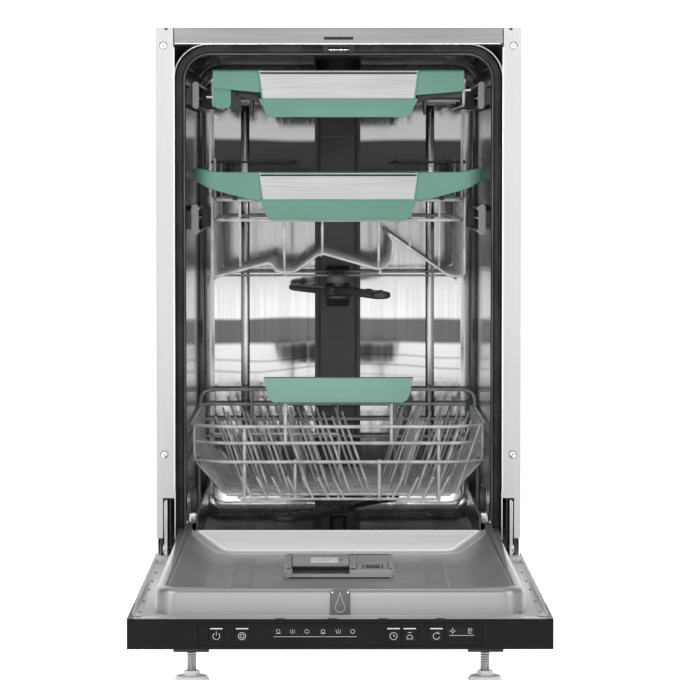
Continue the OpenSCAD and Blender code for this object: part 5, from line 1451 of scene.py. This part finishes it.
# ---- Door lock ----------------------------------------------------------------------
# A grey plate on the rim's front face with a drop-shaped mouth, which swallows the catch.
_, lock_front, lock_low, _, lock_back, lock_top = edges_of("door_lock")
lock_plate = Shape().slab([(-10.9, lock_low + 0.4), (10.9, lock_low + 0.4), (10.4, lock_top - 3),
                           (8, lock_top - 0.2), (-8, lock_top - 0.2),
                           (-10.4, lock_top - 3)], lock_front + 0.6, lock_back)
lock_grey = moulded("lock_grey", paint(104), paint(92), roughness=0.45)
lock_plate.bevelled(0.7, steps=3).piece("door_lock_plate", "door", "grey_plastic", lock_grey, ["door_lock"])
drop_line = [(0, lock_top - 3.4), (-2.6, lock_low + 15)]
drop_line += bow(5.2, 165, 375, 14, 0, lock_low + 8)
drop_line += [(2.6, lock_low + 15)]
lock_mouth = Shape().slab([(x * 0.8, lock_low + 10 + (z - lock_low - 10) * 0.84) for x, z in drop_line],
                          lock_front + 0.5, lock_front + 0.9)
lock_mouth.piece("door_lock_mouth", "door", "grey_plastic", lock_grey)
# The raised rim round the lock's mouth, in the lighter grey as a painted highlight.
wires("door_lock_rim_painted_highlight", [([(x, lock_front + 0.7, z) for x, z in drop_line + drop_line[:1]], 1.1, 0.8)],
      "door", painted_light_grey)
# Painted highlights: small bright steel domes at the plate's top corners, where it catches the light.
glints = Shape()
for side in (-1, 1):
    glints.turned([(0.9, -0.5), (0.9, 0.2), (0.5, 0.5)], (side * 8.2, lock_front + 0.5, lock_top - 3.2),
                  "y", 16)
glints.piece("door_lock_painted_glints", "door", "screw_head", screw_steel)

# ---- Sump and filter ----------------------------------------------------------------
# Moulded sump in the tub's floor, with the fine mesh disc and lift-out cup of the filter,
# and the ribbed cap of the salt chamber.
sump_black = moulded("sump_black", paint(44), paint(34), roughness=0.45)
filter_grey = moulded("filter_grey", paint(98), paint(84), roughness=0.42)
dress(sump_black, "sump", "salt_cap")
dress(filter_grey, "filter_cup")
mesh_disc = Shape()
for radius in range(16, 56, 4):
    mesh_disc.turned([(radius, -0.2), (radius + 1.6, -0.2), (radius + 1.6, 0.5), (radius, 0.5)],
                     (0, lower_arm_y, tub_floor + 3.5), "z", 48)
mesh_disc.piece("filter_mesh_rings", "filter", "grey_plastic", zinc)

# ---- Base ---------------------------------------------------------------------------
# The moulded base that carries the works: two pumps, the softener, the inlet valve and
# the sealed cable inlet. Three threaded feet level the machine.
base_black = moulded("base_black", paint(48), paint(38), roughness=0.55)
dress(base_black, "base_tray", "mains_inlet")
dress(sheet_steel("motor_can", 190, 168, (30, 30, 30), roughness=0.36), "circulation_pump")
dress(filter_grey, "drain_pump")
milky = moulded("milky_plastic", paint(226, 223, 214), paint(214, 210, 200), roughness=0.5)
dress(milky, "water_softener", "inlet_valve")
foot_white = moulded("foot_white", paint(240, 240, 238), paint(232, 232, 230), roughness=0.5)
for node in ("foot_front_left", "foot_front_right", "foot_rear"):
    x0, y0, z0, x1, y1, z1 = edges_of(node)
    centre = ((x0 + x1) / 2, (y0 + y1) / 2, 0)
    wide = (x1 - x0) / 2
    foot = Shape().turned([(wide - 2.4, 0.05), (wide - 0.6, 0.6), (wide, 2), (wide - 0.4, 4.4),
                           (wide - 3, 7.6), (11, 8.4)], centre, "z", 48)
    foot.turned([(10, 8), (10, 13.4), (9.2, 14.2)], centre, "z", 6)
    thread = [(5.9 if k % 2 else 5.2, 14 + 1.5 * k) for k in range(int((z1 - 14.5) / 1.5))]
    Shape().turned(thread, centre, "z", 24).piece(node + "_thread", node, "zinc_steel", zinc)
    foot.piece(node + "_moulding", node, "pale_plastic", foot_white, [node])
